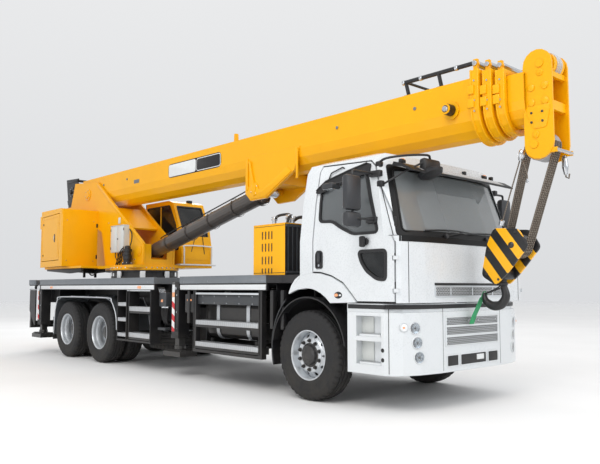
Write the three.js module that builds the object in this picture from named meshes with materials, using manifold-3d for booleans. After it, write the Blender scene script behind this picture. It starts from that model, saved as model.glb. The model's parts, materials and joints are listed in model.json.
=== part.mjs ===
// Three-axle truck-mounted telescopic crane, built as separate solids in millimetres.
// X points forward from the front axle, Y to the left, Z up; side is -1 on the right and +1 on the left.
import * as THREE from 'three';
import { mergeVertices } from 'three/addons/utils/BufferGeometryUtils.js';
import Module from 'manifold-3d';

const wasm = await Module();
wasm.setup();

// ---------------------------------------------------------------- driving dimensions
const touchGap = 0.3;
const runningGap = 6;
const roundSides = 16;
const sides = [-1, 1];
const sideName = { '-1': 'right', 1: 'left' };

// Carrier.
const bodyHalfWidth = 1250;
const wheelbase = 5400;
const bogieSpacing = 1350;
const axleZ = 525;
const tyreRadius = 525;
const tyreWidth = 295;
const twinSpacing = 335;
const rimRadius = 285;
const bearingRadius = 60;
const railOuterY = 430;
const railWidth = 80;
const railBottom = 740;
const railTop = 1010;
const deckBottom = 1370;
const deckTop = 1470;
const deckSideBottom = 1275;
const frontDeckTo = -715;
const rearOverhang = 1830;

// Stabilisers.
const beamWidth = 298;
const beamHeight = 293;
const housingWall = 25;
const jackTube = 190;
const jackRod = 108;
const footLength = 460;
const footWidth = 300;

// Driving cab.
const cabRearX = -100;
const cabFrontX = 1450;
const cabWall = 45;
const cabBottom = 1150;
const cabFloorBottom = 1300;
const cabFloorTop = 1400;
const cabRoofTop = 2850;
const bumperBottom = 400;
const bumperTop = 1050;
const doorGap = 17;
const hingeRadius = 9;

// Superstructure and boom.
const ringRadius = 640;
const ringTop = 1640;
const turretFloor = 1700;
const boomHalfWidth = 288;
const boomTop = 3640;
const boomCrease = 3285;
const boomBottom = 2970;
const boomWall = 12;
const boomClearance = 8;
const collarDepth = 100;
const headPlateY = 185;
const sheaveRadius = 150;
const cylinderRadius = 140;
const rodRadius = 90;

// Places that follow from them.
const middleAxleX = -wheelbase;
const rearAxleX = -wheelbase - bogieSpacing;
const bogieX = (middleAxleX + rearAxleX) / 2;
const frontTyreY = bodyHalfWidth - 175;
const twinMidY = bodyHalfWidth - 195 - twinSpacing / 2;
const rearEndX = rearAxleX - rearOverhang;
const channelWidth = beamWidth + 2 * runningGap;
const housingWidth = 2 * channelWidth + 3 * housingWall;
const frontHousingX = middleAxleX + 2322;
const rearHousingX = rearAxleX - 1192;
const rearDeckTo = frontHousingX - housingWidth / 2 - 15;
const frontDeckFrom = frontHousingX + housingWidth / 2 + 15;
const channelBottom = railTop + housingWall + touchGap;
const beamBottom = channelBottom + runningGap;
const beamTop = beamBottom + beamHeight;
const slewX = bogieX + 125;
const plateInnerY = boomHalfWidth + boomClearance + 4;
const plateOuterY = plateInnerY + 30;
const boomPivot = [slewX - 1900, 3300];
const cylinderPivot = [slewX + 350, 2010];
const cylinderEye = [slewX + 3800, 2810];
const boomFrontX = cabFrontX + 360;
const jackY = bodyHalfWidth - 150;
const archRadiusX = tyreRadius + 85;
const archRadiusZ = tyreRadius + 195;
const cabHalfWidth = bodyHalfWidth - 10;

// ---------------------------------------------------------------- solids
function closedMesh(geometry) {
  const bare = geometry.clone();
  bare.deleteAttribute('normal');
  bare.deleteAttribute('uv');
  const merged = mergeVertices(bare, 1e-3);
  const place = merged.attributes.position;
  const index = merged.index.array;
  const faces = [];
  let volume = 0;
  const [a, b, c] = [new THREE.Vector3(), new THREE.Vector3(), new THREE.Vector3()];
  for (let i = 0; i < index.length; i += 3) {
    const [p, q, r] = [index[i], index[i + 1], index[i + 2]];
    if (p === q || q === r || r === p) continue;
    faces.push([p, q, r]);
    a.fromBufferAttribute(place, p);
    b.fromBufferAttribute(place, q);
    c.fromBufferAttribute(place, r);
    volume += a.dot(b.cross(c));
  }
  const outward = volume < 0 ? faces.map(([p, q, r]) => [p, r, q]) : faces;
  return new wasm.Mesh({
    numProp: 3,
    vertProperties: new Float32Array(place.array),
    triVerts: new Uint32Array(outward.flat()),
  });
}

function solid(geometry) {
  return new wasm.Manifold(closedMesh(geometry));
}

function join(...parts) {
  return parts.flat().reduce((whole, part) => whole.add(part));
}

function cut(whole, ...tools) {
  return tools.flat().reduce((rest, tool) => rest.subtract(tool), whole);
}

function common(...parts) {
  return parts.reduce((whole, part) => whole.intersect(part));
}

function box(x0, x1, y0, y1, z0, z1) {
  const shape = new THREE.BoxGeometry(Math.abs(x1 - x0), Math.abs(y1 - y0), Math.abs(z1 - z0));
  return solid(shape.translate((x0 + x1) / 2, (y0 + y1) / 2, (z0 + z1) / 2));
}

// A closed outline; every corner is rounded by up to the given radius.
function outline(points, radius = 0) {
  const shape = new THREE.Shape();
  points.forEach(([x, y], i) => {
    const corner = new THREE.Vector2(x, y);
    const before = new THREE.Vector2(...points.at(i - 1)).sub(corner);
    const after = new THREE.Vector2(...points[(i + 1) % points.length]).sub(corner);
    const reach = Math.min(radius, before.length() / 2.2, after.length() / 2.2);
    const from = corner.clone().add(before.setLength(reach));
    const to = corner.clone().add(after.setLength(reach));
    if (i === 0) shape.moveTo(from.x, from.y);
    else shape.lineTo(from.x, from.y);
    if (reach > 0) shape.quadraticCurveTo(x, y, to.x, to.y);
  });
  shape.closePath();
  return shape;
}

function extrusion(points, length, radius) {
  const shape = outline(points, radius);
  return new THREE.ExtrudeGeometry(shape, { depth: length, bevelEnabled: false, curveSegments: 3 });
}

// Outline in X-Z, thickness along Y.
function slab(points, y0, y1, radius) {
  const shape = extrusion(points, Math.abs(y1 - y0), radius);
  return solid(shape.rotateX(Math.PI / 2).translate(0, Math.max(y0, y1), 0));
}

// Outline in X-Y, height along Z; lean shifts X by that much for each unit of height.
function plate(points, z0, z1, radius, lean = 0) {
  const shape = extrusion(points, z1 - z0, radius);
  const shear = new THREE.Matrix4().makeShear(0, 0, 0, 0, lean, 0);
  return solid(shape.applyMatrix4(shear).translate(0, 0, z0));
}

// Outline in Y-Z, length along X.
function bar(points, x0, x1, radius) {
  const shape = extrusion(points, x1 - x0, radius);
  const turn = new THREE.Matrix4().makeBasis(
    new THREE.Vector3(0, 1, 0),
    new THREE.Vector3(0, 0, 1),
    new THREE.Vector3(1, 0, 0),
  );
  return solid(shape.applyMatrix4(turn).translate(x0, 0, 0));
}

// A round bar between two points.
function rod(from, to, radius, count = roundSides) {
  const start = new THREE.Vector3(...from);
  const end = new THREE.Vector3(...to);
  const run = end.clone().sub(start);
  const shape = new THREE.CylinderGeometry(radius, radius, run.length(), count, 1, false, Math.PI / count);
  const turn = new THREE.Quaternion().setFromUnitVectors(new THREE.Vector3(0, 1, 0), run.clone().normalize());
  return solid(shape.applyQuaternion(turn).translate(...start.add(end).divideScalar(2).toArray()));
}

// A bar of round or flat section along a curve through the points.
function bent(points, section, steps, tension = 0.5) {
  const path = new THREE.CatmullRomCurve3(points.map((p) => new THREE.Vector3(...p)), false,
    'catmullrom', tension);
  return solid(new THREE.ExtrudeGeometry(section, { steps, extrudePath: path, bevelEnabled: false }));
}

function roundSection(radius, count) {
  const points = [];
  for (let i = 0; i < count; i += 1) {
    const turn = (2 * Math.PI * i) / count;
    points.push([radius * Math.cos(turn), radius * Math.sin(turn)]);
  }
  return outline(points);
}

// A profile of [radius, outward distance] turned about a line along Y, its flats facing the axes.
function turned(profile, x, y, z, side, count = roundSides) {
  const points = profile.map(([r, t]) => new THREE.Vector2(r / Math.cos(Math.PI / count), side * t));
  const shape = new THREE.LatheGeometry(points, count, Math.PI / count);
  return solid(shape.translate(x, y, z));
}

// Points of an ellipse's arc in degrees.
function arc(x, z, radiusX, radiusZ, from, to, count) {
  const points = [];
  for (let i = 0; i <= count; i += 1) {
    const turn = THREE.MathUtils.degToRad(from + ((to - from) * i) / count);
    points.push([x + radiusX * Math.cos(turn), z + radiusZ * Math.sin(turn)]);
  }
  return points;
}

// The outline moved outward by a distance, corners kept sharp.
function grown(points, distance) {
  const area = points.reduce((sum, [x, y], i) => {
    const [u, v] = points[(i + 1) % points.length];
    return sum + x * v - u * y;
  }, 0);
  const turn = Math.sign(area);
  return points.map(([x, y], i) => {
    const here = new THREE.Vector2(x, y);
    const into = here.clone().sub(new THREE.Vector2(...points.at(i - 1))).normalize();
    const out = new THREE.Vector2(...points[(i + 1) % points.length]).sub(here).normalize();
    const normal = new THREE.Vector2(into.y + out.y, -into.x - out.x).normalize();
    const reach = (turn * distance) / Math.max(0.3, normal.dot(new THREE.Vector2(into.y, -into.x)));
    return [x + normal.x * reach, y + normal.y * reach];
  });
}

function mirrored(points) {
  return [...points, ...points.map(([y, z]) => [-y, z]).reverse()];
}

// Left half of an outline in X-Y, made whole.
function bothHalves(points) {
  return [...points, ...points.map(([x, y]) => [x, -y]).reverse()];
}

// ---------------------------------------------------------------- materials and meshes
const paint = (color, roughness, metalness) => new THREE.MeshStandardMaterial({ color, roughness,
  metalness });
const craneYellow = paint('#f5a800', 0.4, 0.1);
const cabWhite = paint('#eef1f2', 0.35, 0.1);
const frameBlack = paint('#1b1b1d', 0.6, 0.2);
const galvanised = paint('#9aa0a3', 0.5, 0.7);
const chequerPlate = paint('#b4b8ba', 0.45, 0.8);
const darkSteel = paint('#3a3a3c', 0.45, 0.6);
const wheelGrey = paint('#33353a', 0.7, 0.1);
const rubberBlack = paint('#242426', 0.9, 0);
const trimGrey = paint('#55585c', 0.8, 0);
const clearGlass = paint('#8c9499', 0.1, 0);
const panelGrey = paint('#c9ccca', 0.5, 0.2);
const strapGreen = paint('#1fa566', 0.85, 0);

const crane = new THREE.Group();

function add(name, body, material) {
  const mesh = body.getMesh();
  const geometry = new THREE.BufferGeometry();
  geometry.setAttribute('position', new THREE.BufferAttribute(mesh.vertProperties, 3));
  geometry.setIndex(new THREE.BufferAttribute(mesh.triVerts, 1));
  const node = new THREE.Mesh(geometry, material);
  node.name = name;
  crane.add(node);
}

// ---------------------------------------------------------------- frame and running gear
const frontSpringY = railOuterY + 15;
const frontSpringWidth = 70;
const springEyeX = 800;
const springTop = railBottom - 40;
const tankShelfTop = 600;
const spareX = middleAxleX + 1450;
const spareTop = 610;

function chassisFrame() {
  const rails = sides.map((s) => box(
    rearEndX + 100, cabFrontX - 270, s * (railOuterY - railWidth), s * railOuterY, railBottom, railTop));
  const crossX = [cabFrontX - 350, -1300, frontHousingX + 500, middleAxleX + 700, rearEndX + 180];
  const cross = crossX.map((x) => box(x - 50, x + 50, 5 - railOuterY, railOuterY - 5, 800, 950));
  const hangers = sides.flatMap((s) => [-springEyeX, springEyeX].map((x) => box(
    x - 60, x + 60, s * (railOuterY - 5), s * (frontSpringY + frontSpringWidth + 5), springTop, 820)));
  const cabPosts = sides.flatMap((s) => [-20, 1050].map((x) => box(
    x - 45, x + 45, s * (railOuterY - railWidth), s * railOuterY, railTop - 5, cabFloorBottom - touchGap)));
  const shelves = sides.flatMap((s) => [frontDeckFrom + 560, frontDeckFrom + 1560].map((x) => box(
    x - 30, x + 30, s * (railOuterY - 5), s * (bodyHalfWidth - 200), tankShelfTop - 40, tankShelfTop)));
  const shelfPosts = sides.flatMap((s) => [frontDeckFrom + 560, frontDeckFrom + 1560].map((x) => box(
    x - 30, x + 30, s * (railOuterY - 5), s * (railOuterY + 40), tankShelfTop - 5, 800)));
  const spareBar = box(spareX - 60, spareX + 60, -560, railOuterY, spareTop + 60, railBottom + 5);
  const spareBoss = rod([spareX, -450, spareTop + touchGap], [spareX, -450, spareTop + 70], 60, 12);
  return join(rails, cross, hangers, cabPosts, shelves, shelfPosts, spareBar, spareBoss);
}

const kingpinY = frontTyreY - 145;
const axleEnd = { radius: 48, bottom: axleZ - 50, top: axleZ + 55 };
const stubInnerY = kingpinY + 56;

function frontAxle() {
  const beam = box(-50, 50, -kingpinY, kingpinY, axleZ - 50, axleZ + 45);
  const ends = sides.map((s) => rod(
    [0, s * kingpinY, axleEnd.bottom], [0, s * kingpinY, axleEnd.top], axleEnd.radius, 16));
  const dropped = cut(join(beam, ends), sides.map((s) => box(
    -60, 60, s * (kingpinY - 5), s * (kingpinY + 60), axleZ - 60, axleEnd.bottom)));
  const leaf = [[-springEyeX - 40, springTop - touchGap], [-400, springTop - 85], [0, springTop - 110],
    [400, springTop - 85], [springEyeX + 40, springTop - touchGap]];
  const under = leaf.map(([x, z]) => [x, z - 70]).reverse();
  const springs = sides.map((s) => slab([...leaf, ...under], s * frontSpringY,
    s * (frontSpringY + frontSpringWidth)));
  return join(dropped, springs);
}

function knuckle(side) {
  const y = (t) => side * (kingpinY + t);
  const lugs = [[axleEnd.bottom - 40, axleEnd.bottom - touchGap], [axleEnd.top + touchGap, axleEnd.top + 40]]
    .map(([low, high]) => join(
      rod([0, y(0), low], [0, y(0), high], axleEnd.radius, 16),
      box(-axleEnd.radius, axleEnd.radius, y(0), y(60), low, high),
    ));
  const back = box(-60, 60, y(56), y(84), axleEnd.bottom - 40, axleEnd.top + 40);
  const stub = rod([0, y(80), axleZ], [0, side * (frontTyreY + 60), axleZ], bearingRadius);
  return join(lugs, back, stub);
}

const hubBore = bearingRadius + 0.6;

function frontWheel(side) {
  const w = tyreWidth / 2;
  const profile = [[0, 60.6], [hubBore, 60.6], [hubBore, -45], [125, -45], [125, 45], [250, 40],
    [rimRadius - 13, 20], [rimRadius - 13, -w + 20], [rimRadius + 13, -w + 20], [rimRadius + 115, -w],
    [tyreRadius - 35, -w + 5], [tyreRadius, -w + 40], [tyreRadius, w - 40], [tyreRadius - 35, w - 5],
    [rimRadius + 115, w], [rimRadius + 13, w - 20], [rimRadius - 13, w - 20], [rimRadius - 20, 70],
    [245, 88], [110, 88], [104, 148], [0, 148]];
  return turned(profile, 0, side * frontTyreY, axleZ, side);
}

function twinWheels(x, side) {
  const h = twinSpacing / 2;
  const w = tyreWidth / 2;
  const profile = [[0, 100], [hubBore, 100], [hubBore, -120], [130, -120], [130, -45], [rimRadius - 13, -55],
    [rimRadius - 13, -h - w + 20], [rimRadius + 13, -h - w + 20], [rimRadius + 115, -h - w],
    [tyreRadius, -h - w + 35], [tyreRadius, -h + w - 35], [rimRadius + 115, -h + w], [rimRadius, -30],
    [rimRadius, 30], [rimRadius + 115, h - w], [tyreRadius, h - w + 35], [tyreRadius, h + w - 35],
    [rimRadius + 115, h + w], [rimRadius + 13, h + w - 20], [rimRadius - 13, h + w - 20],
    [rimRadius - 13, 55], [240, 40], [125, 40], [125, 190], [0, 190]];
  return turned(profile, x, side * twinMidY, axleZ, side);
}

function driveAxle(x) {
  const end = twinMidY + 99.5;
  const stub = bearingRadius * Math.cos(Math.PI / roundSides);
  const half = [[stub, end], [stub, twinMidY - 125], [82, twinMidY - 135], [82, 260],
    [190, 130]];
  const profile = [[0, -end], ...half.map(([r, t]) => [r, -t]), ...half.reverse(), [0, end]];
  return turned(profile, x, 0, axleZ, 1);
}

const bogieSpringY = railOuterY + 20;

function bogieSuspension() {
  const seat = axleZ + 82 + touchGap;
  const reach = bogieSpacing / 2 + 70;
  const low = [[bogieX - reach, seat], [bogieX - reach + 140, seat], [bogieX - 200, seat + 60],
    [bogieX + 200, seat + 60], [bogieX + reach - 140, seat], [bogieX + reach, seat]];
  const high = [[bogieX + reach, seat + 40], [bogieX + 200, seat + 150], [bogieX - 200, seat + 150],
    [bogieX - reach, seat + 40]];
  const springs = sides.map((s) => slab([...low, ...high], s * bogieSpringY, s * (bogieSpringY + 75)));
  const tube = rod([bogieX, -bogieSpringY - 5, seat + 75], [bogieX, bogieSpringY + 5, seat + 75], 50, 12);
  const brackets = sides.map((s) => box(
    bogieX - 140, bogieX + 140, s * (railOuterY - railWidth), s * railOuterY, seat + 40,
      railBottom - touchGap));
  return join(springs, tube, brackets);
}

// ---------------------------------------------------------------- crane subframe and stabilisers
const channels = {
  front: { right: frontHousingX + (channelWidth + housingWall) / 2,
    left: frontHousingX - (channelWidth + housingWall) / 2 },
  rear: { right: rearHousingX - (channelWidth + housingWall) / 2,
    left: rearHousingX + (channelWidth + housingWall) / 2 },
};
const housingY = jackY - jackTube / 2 - 12;

function craneSubframe() {
  const low = railTop + touchGap;
  const high = deckBottom - touchGap;
  const spine = cut(
    box(rearHousingX, frontHousingX, -railOuterY, railOuterY, low, high),
    box(rearHousingX + 400, frontHousingX - 400, 60 - railOuterY, railOuterY - 60, low + 40, high - 40),
    box(frontHousingX - 900, frontHousingX - 700, -200, 200, low - 10, low + 60),
  );
  const housings = [frontHousingX, rearHousingX].map((x) => box(
    x - housingWidth / 2, x + housingWidth / 2, -housingY, housingY, low, high));
  const spans = Object.values(channels).flatMap((pair) => Object.values(pair));
  const bores = spans.map((x) => box(
    x - channelWidth / 2, x + channelWidth / 2, -housingY - 10, housingY + 10, channelBottom,
    beamTop + runningGap));
  const pads = spans.flatMap((x) => sides.map((s) => box(
    x - channelWidth / 2, x + channelWidth / 2, s * (housingY - 90), s * housingY,
    channelBottom - 5, beamBottom - touchGap)));
  const arms = sides.flatMap((s) => [middleAxleX + 900, bogieX, rearAxleX - 500].map((x) => box(
    x - 40, x + 40, s * (railOuterY - 10), s * (bodyHalfWidth - 70), high - 90, high)));
  const pedestal = rod([slewX, 0, high - 20], [slewX, 0, ringTop - 110], ringRadius - 10, 32);
  const ring = rod([slewX, 0, ringTop - 115], [slewX, 0, ringTop - touchGap], ringRadius - 60, 32);
  return join(cut(join(spine, housings), bores), pads, arms, pedestal, ring);
}

function outriggerBeam(x, side) {
  const y = (t) => side * t;
  const beam = box(x - beamWidth / 2, x + beamWidth / 2, y(jackY - jackTube / 2 + 5), y(-housingY + 20),
    beamBottom, beamTop);
  const tube = box(x - jackTube / 2, x + jackTube / 2, y(jackY - jackTube / 2), y(jackY + jackTube / 2),
    560, 1400);
  const half = jackRod / 2 + runningGap;
  const bore = box(x - half, x + half, y(jackY - half), y(jackY + half), 550, 1350);
  const guide = cut(
    box(x - half - 5, x + half + 5, y(jackY - half - 5), y(jackY + half + 5), 560, 640),
    box(x - jackRod / 2 - touchGap, x + jackRod / 2 + touchGap,
      y(jackY - jackRod / 2 - touchGap), y(jackY + jackRod / 2 + touchGap), 550, 650));
  return join(cut(join(beam, tube), bore), guide);
}

function outriggerJack(x, side) {
  const y = side * jackY;
  const leg = box(x - jackRod / 2, x + jackRod / 2, y - jackRod / 2, y + jackRod / 2, 395, 1330);
  const collar = rod([x, y, 380], [x, y, 450], 85, 12);
  const foot = bar([[y - footWidth / 2, 300], [y + footWidth / 2, 300], [y + footWidth / 2, 370],
    [y + 100, 400], [y - 100, 400], [y - footWidth / 2, 370]], x - footLength / 2, x + footLength / 2);
  return join(leg, collar, foot);
}

// ---------------------------------------------------------------- decks, guards and tanks
function ladderSet(x, side) {
  const y0 = side * (bodyHalfWidth - 190);
  const y1 = side * (bodyHalfWidth - 10);
  const uprights = [x, x + 310, x + 390, x + 1080].map((u) => box(u, u + 30, y0, y1, 450, deckBottom + 5));
  const small = [550, 800, 1050].map((z) => box(x + 10, x + 330, y0, y1, z - 45, z + 10));
  const wide = [560, 980].map((z) => box(x + 400, x + 1090, y0, y1, z - 80, z + 20));
  return join(uprights, small, wide, box(x, x + 1110, y0, y1, 440, 470));
}

function rearDeck() {
  const floor = box(rearEndX, rearDeckTo, -bodyHalfWidth, bodyHalfWidth, deckBottom, deckTop);
  const edges = sides.map((s) => box(
    rearEndX, rearDeckTo, s * (bodyHalfWidth - 50), s * (bodyHalfWidth - 10), deckSideBottom,
    deckBottom + 5));
  const hole = rod([slewX, 0, deckBottom - 10], [slewX, 0, deckTop + 10], ringRadius, 32);
  const notches = sides.map((s) => {
    const x = channels.rear[sideName[s]];
    return box(x - jackTube / 2 - 15, x + jackTube / 2 + 15, s * (jackY - jackTube / 2 - 20),
      s * (bodyHalfWidth + 10), deckSideBottom - 10, deckTop + 10);
  });
  const beamWays = sides.map((s) => {
    const x = channels.rear[sideName[s]];
    return box(x - channelWidth / 2, x + channelWidth / 2, s * housingY, s * (bodyHalfWidth + 10),
      deckSideBottom - 10, beamTop + runningGap);
  });
  const ladders = sides.map((s) => ladderSet(middleAxleX + 750, s));
  return join(cut(join(floor, edges), hole, notches, beamWays), ladders);
}

function sideSteps(side) {
  const y0 = side * (bodyHalfWidth - 85);
  const y1 = side * (bodyHalfWidth - 10);
  const from = frontDeckFrom + 355;
  const to = frontDeckTo - 95;
  const uprights = [[from, from + 70], [to - 70, to]].map(([a, b]) => box(a, b, y0, y1, 410,
    deckSideBottom + 5));
  const treads = [820, 520].map((z) => box(from + 60, to - 60, side * (bodyHalfWidth - 180), y1, z - 60,
    z + 30));
  const rail = box(from + 60, to - 60, y0, y1, 1215, 1245);
  const panel = box(from + 60, to - 60, side * (bodyHalfWidth - 60), side * (bodyHalfWidth - 45), 1080, 1220);
  return join(uprights, treads, rail, panel, box(from, to, y0, y1, 410, 450));
}

function frontDeck() {
  const w = bodyHalfWidth;
  const half = [[frontDeckFrom, w], [frontDeckTo, w], [frontDeckTo + 155, w - 120], [cabRearX - 25, w - 120]];
  const floor = plate(bothHalves(half), deckBottom, deckTop);
  const edges = sides.map((s) => box(
    frontDeckFrom, frontDeckTo, s * (w - 50), s * (w - 10), deckSideBottom, deckBottom + 5));
  const posts = sides.flatMap((s) => [frontDeckFrom + 800, frontDeckTo - 150].map((x) => box(
    x - 50, x + 50, s * (railOuterY - railWidth), s * railOuterY, railTop + touchGap, deckBottom + 5)));
  return join(floor, edges, posts, sides.map((s) => sideSteps(s)));
}

// A band of sheet along a line of points in X-Z.
function sheetBand(points, thickness, y0, y1) {
  const flat = [...points, ...grown([...points, [points[0][0] + 1, points[0][1] - 1]], thickness)
    .slice(0, points.length).reverse()];
  return slab(flat, y0, y1);
}

function rearMudguard(side) {
  const r = tyreRadius;
  const line = [[rearAxleX - r - 95, 400], [rearAxleX - r - 60, 820], [rearAxleX - r + 40, axleZ + r + 10],
    [rearAxleX - r + 240, axleZ + r + 75], [middleAxleX + r - 300, axleZ + r + 75],
    [middleAxleX + r - 90, axleZ + r + 20], [middleAxleX + r + 80, 850], [middleAxleX + r + 125, 585]];
  const band = sheetBand(line, 14, side * (bodyHalfWidth - 690), side * (bodyHalfWidth - 60));
  const arms = [rearAxleX + 150, middleAxleX - 150].map((x) => box(
    x - 25, x + 25, side * (railOuterY + touchGap), side * (bodyHalfWidth - 400), axleZ + r + 80,
    axleZ + r + 120));
  return join(band, arms);
}

function frontMudguard(side) {
  const points = arc(20, axleZ + 60, archRadiusX + 20, archRadiusZ, 197, 128, 6);
  const band = sheetBand(points, 14, side * (bodyHalfWidth - 340), side * (bodyHalfWidth - 15));
  const x = 20 - archRadiusX - 20;
  const arm = box(x - 40, x + 20, side * (railOuterY + touchGap), side * (bodyHalfWidth - 200), 760, 800);
  return join(band, arm);
}

function sideTank(side, from, to) {
  const y0 = railOuterY + 45 + touchGap;
  const y1 = bodyHalfWidth - 200;
  const points = [[side * y0, tankShelfTop + touchGap], [side * y1, tankShelfTop + touchGap],
    [side * y1, 1180], [side * y0, 1180]];
  return bar(points, from, to, 150);
}

function fuelTank() {
  const tank = sideTank(-1, frontDeckFrom + 420, frontDeckFrom + 1750);
  const neckY = -(bodyHalfWidth - 360);
  return join(tank, rod([frontDeckFrom + 700, neckY, 1150], [frontDeckFrom + 700, neckY, 1225], 45, 12));
}

function spareWheel() {
  const w = tyreWidth / 2;
  const profile = [[0, 30], [rimRadius - 60, 30], [rimRadius - 13, w - 20], [rimRadius + 13, w - 20],
    [rimRadius + 115, w], [tyreRadius - 20, w - 35], [tyreRadius - 20, -w + 35], [rimRadius + 115, -w],
    [rimRadius + 13, -w + 20], [rimRadius - 13, -w + 20], [rimRadius - 60, -30], [0, -30]];
  const points = profile.map(([r, t]) => new THREE.Vector2(r, t));
  const wheel = new THREE.LatheGeometry(points, roundSides, 0).rotateX(Math.PI / 2);
  const disc = solid(wheel.translate(spareX, -450, spareTop - w));
  return join(disc, rod([spareX, -450, spareTop - w - 20], [spareX, -450, spareTop], 75, 12));
}

function oilTank() {
  const x0 = frontDeckTo - 445;
  const body = box(x0, x0 + 630, -(bodyHalfWidth - 150), -450, deckTop + touchGap, 2130);
  const valves = [[x0 + 130, -850], [x0 + 330, -700], [x0 + 480, -900]].map(([x, y]) => rod(
    [x, y, 2120], [x, y, 2215], 32, 10));
  return join(body, valves);
}

function rearBumper() {
  const x = rearEndX;
  const beam = box(x + 20, x + 99, -(bodyHalfWidth - 30), bodyHalfWidth - 30, 480, 620);
  const posts = sides.map((s) => box(
    x + 40, x + 100 - touchGap, s * (railOuterY - railWidth), s * railOuterY, 600, railTop));
  const skirt = [[x + 10, 840], [x + 280, 540], [x + 320, 540], [x + 320, 1265], [x + 10, 1265]];
  const skirts = sides.map((s) => slab(skirt, s * (bodyHalfWidth - 45), s * (bodyHalfWidth - 20)));
  const uprights = sides.map((s) => box(
    x + 30, x + 95, s * (bodyHalfWidth - 90), s * (bodyHalfWidth - 30), 480, 1000));
  return join(beam, posts, uprights, skirts);
}

// ---------------------------------------------------------------- driving cab
// The cab's outer surface moved inward by inset; the lower front is upright and the upper front leans back.
function cabHull(inset, bottom) {
  const w = cabHalfWidth - inset;
  const front = cabFrontX - inset;
  const roof = cabRoofTop - inset;
  const rear = cabRearX + inset;
  const section = mirrored([[w, bottom], [w, 1850], [w - 55, 2300], [w - 130, roof - 170], [w - 200,
    roof - 70],
    [w - 340, roof - 20], [0, roof]]);
  const profile = [[rear, bottom], [front, bottom], [front, 2700], [1050, roof - 60], [800, roof - 15],
    [500, roof],
    [rear + 300, roof], [rear + 80, roof - 25], [rear, roof - 70]];
  const lowPlan = bothHalves([[rear, w], [front - 100, w], [front - 65, w - 60], [front - 35, w - 190],
    [front - 10, w - 390], [front, w - 640]]);
  const highPlan = bothHalves([[rear + 800, w], [front - 250, w], [front - 170, w - 90], [front - 105,
    w - 240],
    [front - 40, w - 490], [front - 5, w - 840]]);
  const low = plate(lowPlan, bottom, 1850);
  const high = plate(highPlan, 1849, roof + 50, 0, -0.33);
  const back = box(rear, rear + 901, -w, w, 1849, roof + 50);
  return common(join(low, high, back), bar(section, rear - 10, front + 10), slab(profile, -w - 10, w + 10));
}

const doorOutline = [[130, 1497], [250, 1492], [430, 1450], [610, 1370], [745, 1240], [815, 1165], [1335,
  1165],
  [1338, 1780], [1300, 1850], [985, 2640], [900, 2705], [130, 2745]];
const sideWindow = [[215, 2080], [200, 2480], [860, 2635], [1110, 1905], [760, 1905], [560, 1990], [420,
  2070]];
const peepWindow = [[850, 1696], [1222, 1697], [1217, 1398], [1100, 1410], [959, 1496], [880, 1600]];
const windscreenOutline = mirrored([[1060, 1905], [975, 2610]]);
const doorHinge = { x: 1328, y: cabHalfWidth - 10, heights: [1300, 1640] };

// Hinge lugs carry the door's leaf on their top faces, touchGap below it.
function hingeLugs(hinge, side, reach) {
  return hinge.heights.map((z) => join(
    rod([hinge.x, side * hinge.y, z - 40], [hinge.x, side * hinge.y, z], hingeRadius, 12),
    box(hinge.x, hinge.x + reach, side * (hinge.y - hingeRadius + 1), side * (hinge.y + hingeRadius - 2),
      z - 40, z),
  ));
}

function hingeRoom(hinge, side) {
  return hinge.heights.map((z) => rod(
    [hinge.x, side * hinge.y, z - 48], [hinge.x, side * hinge.y, z + touchGap + 0.1], hingeRadius + 8, 16));
}

function fender(side) {
  const upper = [[-288, 1236], [-94, 1452], [100, 1478], [238, 1474], [420, 1438], [600, 1350], [725, 1228],
    [800, cabBottom]];
  const start = THREE.MathUtils.radToDeg(Math.asin((cabBottom - 12 - 585) / archRadiusZ));
  const lower = arc(20, 585, archRadiusX, archRadiusZ, start, 117, 8);
  return slab([...upper, ...lower], side * (cabHalfWidth - 110), side * (cabHalfWidth + 8));
}

function cabShell() {
  const shell = cut(cabHull(0, cabBottom), cabHull(cabWall, cabFloorTop));
  const under = box(cabRearX - 10, cabFrontX - 110, -cabHalfWidth + 110, cabHalfWidth - 110,
    cabBottom - 50, cabFloorBottom);
  const arches = slab([...arc(20, 585, archRadiusX, archRadiusZ, 0, 180, 16)], -bodyHalfWidth - 50,
    bodyHalfWidth + 50);
  const hollowed = cut(join(cut(shell, under), sides.map((s) => fender(s))), arches);
  const rearCorner = slab([[-120, 1100], [-95, 1440], [-300, 1235], [-300, 1100]], -cabHalfWidth - 20,
    cabHalfWidth + 20);
  const openings = sides.map((s) => slab(grown(doorOutline, doorGap), s * (cabHalfWidth - 320),
    s * (cabHalfWidth + 60)));
  const screen = bar(windscreenOutline, 700, cabFrontX + 50, 60);
  const visor = slab([[1150, 2640], [1390, 2560], [1400, 2575], [1170, 2675]], -1000, 1000);
  const lugs = sides.flatMap((s) => hingeLugs(doorHinge, s, 60));
  return join(cut(hollowed, rearCorner, openings, screen), visor, lugs);
}

function windshield() {
  const skin = cut(cabHull(6, 1700), cabHull(16, 1650));
  return common(skin, bar(grown(windscreenOutline, -0.5), 800, cabFrontX + 50, 60));
}

function mirrorSet(side) {
  const y = (t) => side * (bodyHalfWidth + t);
  const main = box(950, 1040, y(140), y(370), 2120, 2495);
  const wide = box(950, 1040, y(140), y(370), 1945, 2105);
  const stem = box(975, 1005, y(225), y(255), 2090, 2560);
  const top = box(975, 1005, y(-125), y(255), 2530, 2560);
  const lowArm = box(1060, 1085, y(-60), y(240), 2020, 2045);
  const lowJoint = box(1000, 1085, y(215), y(245), 2020, 2045);
  const kerb = box(600, 780, y(190), y(330), 2370, 2440);
  const kerbArm = box(770, 990, y(225), y(250), 2420, 2445);
  return join(main, wide, stem, top, lowArm, lowJoint, kerb, kerbArm);
}

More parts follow.
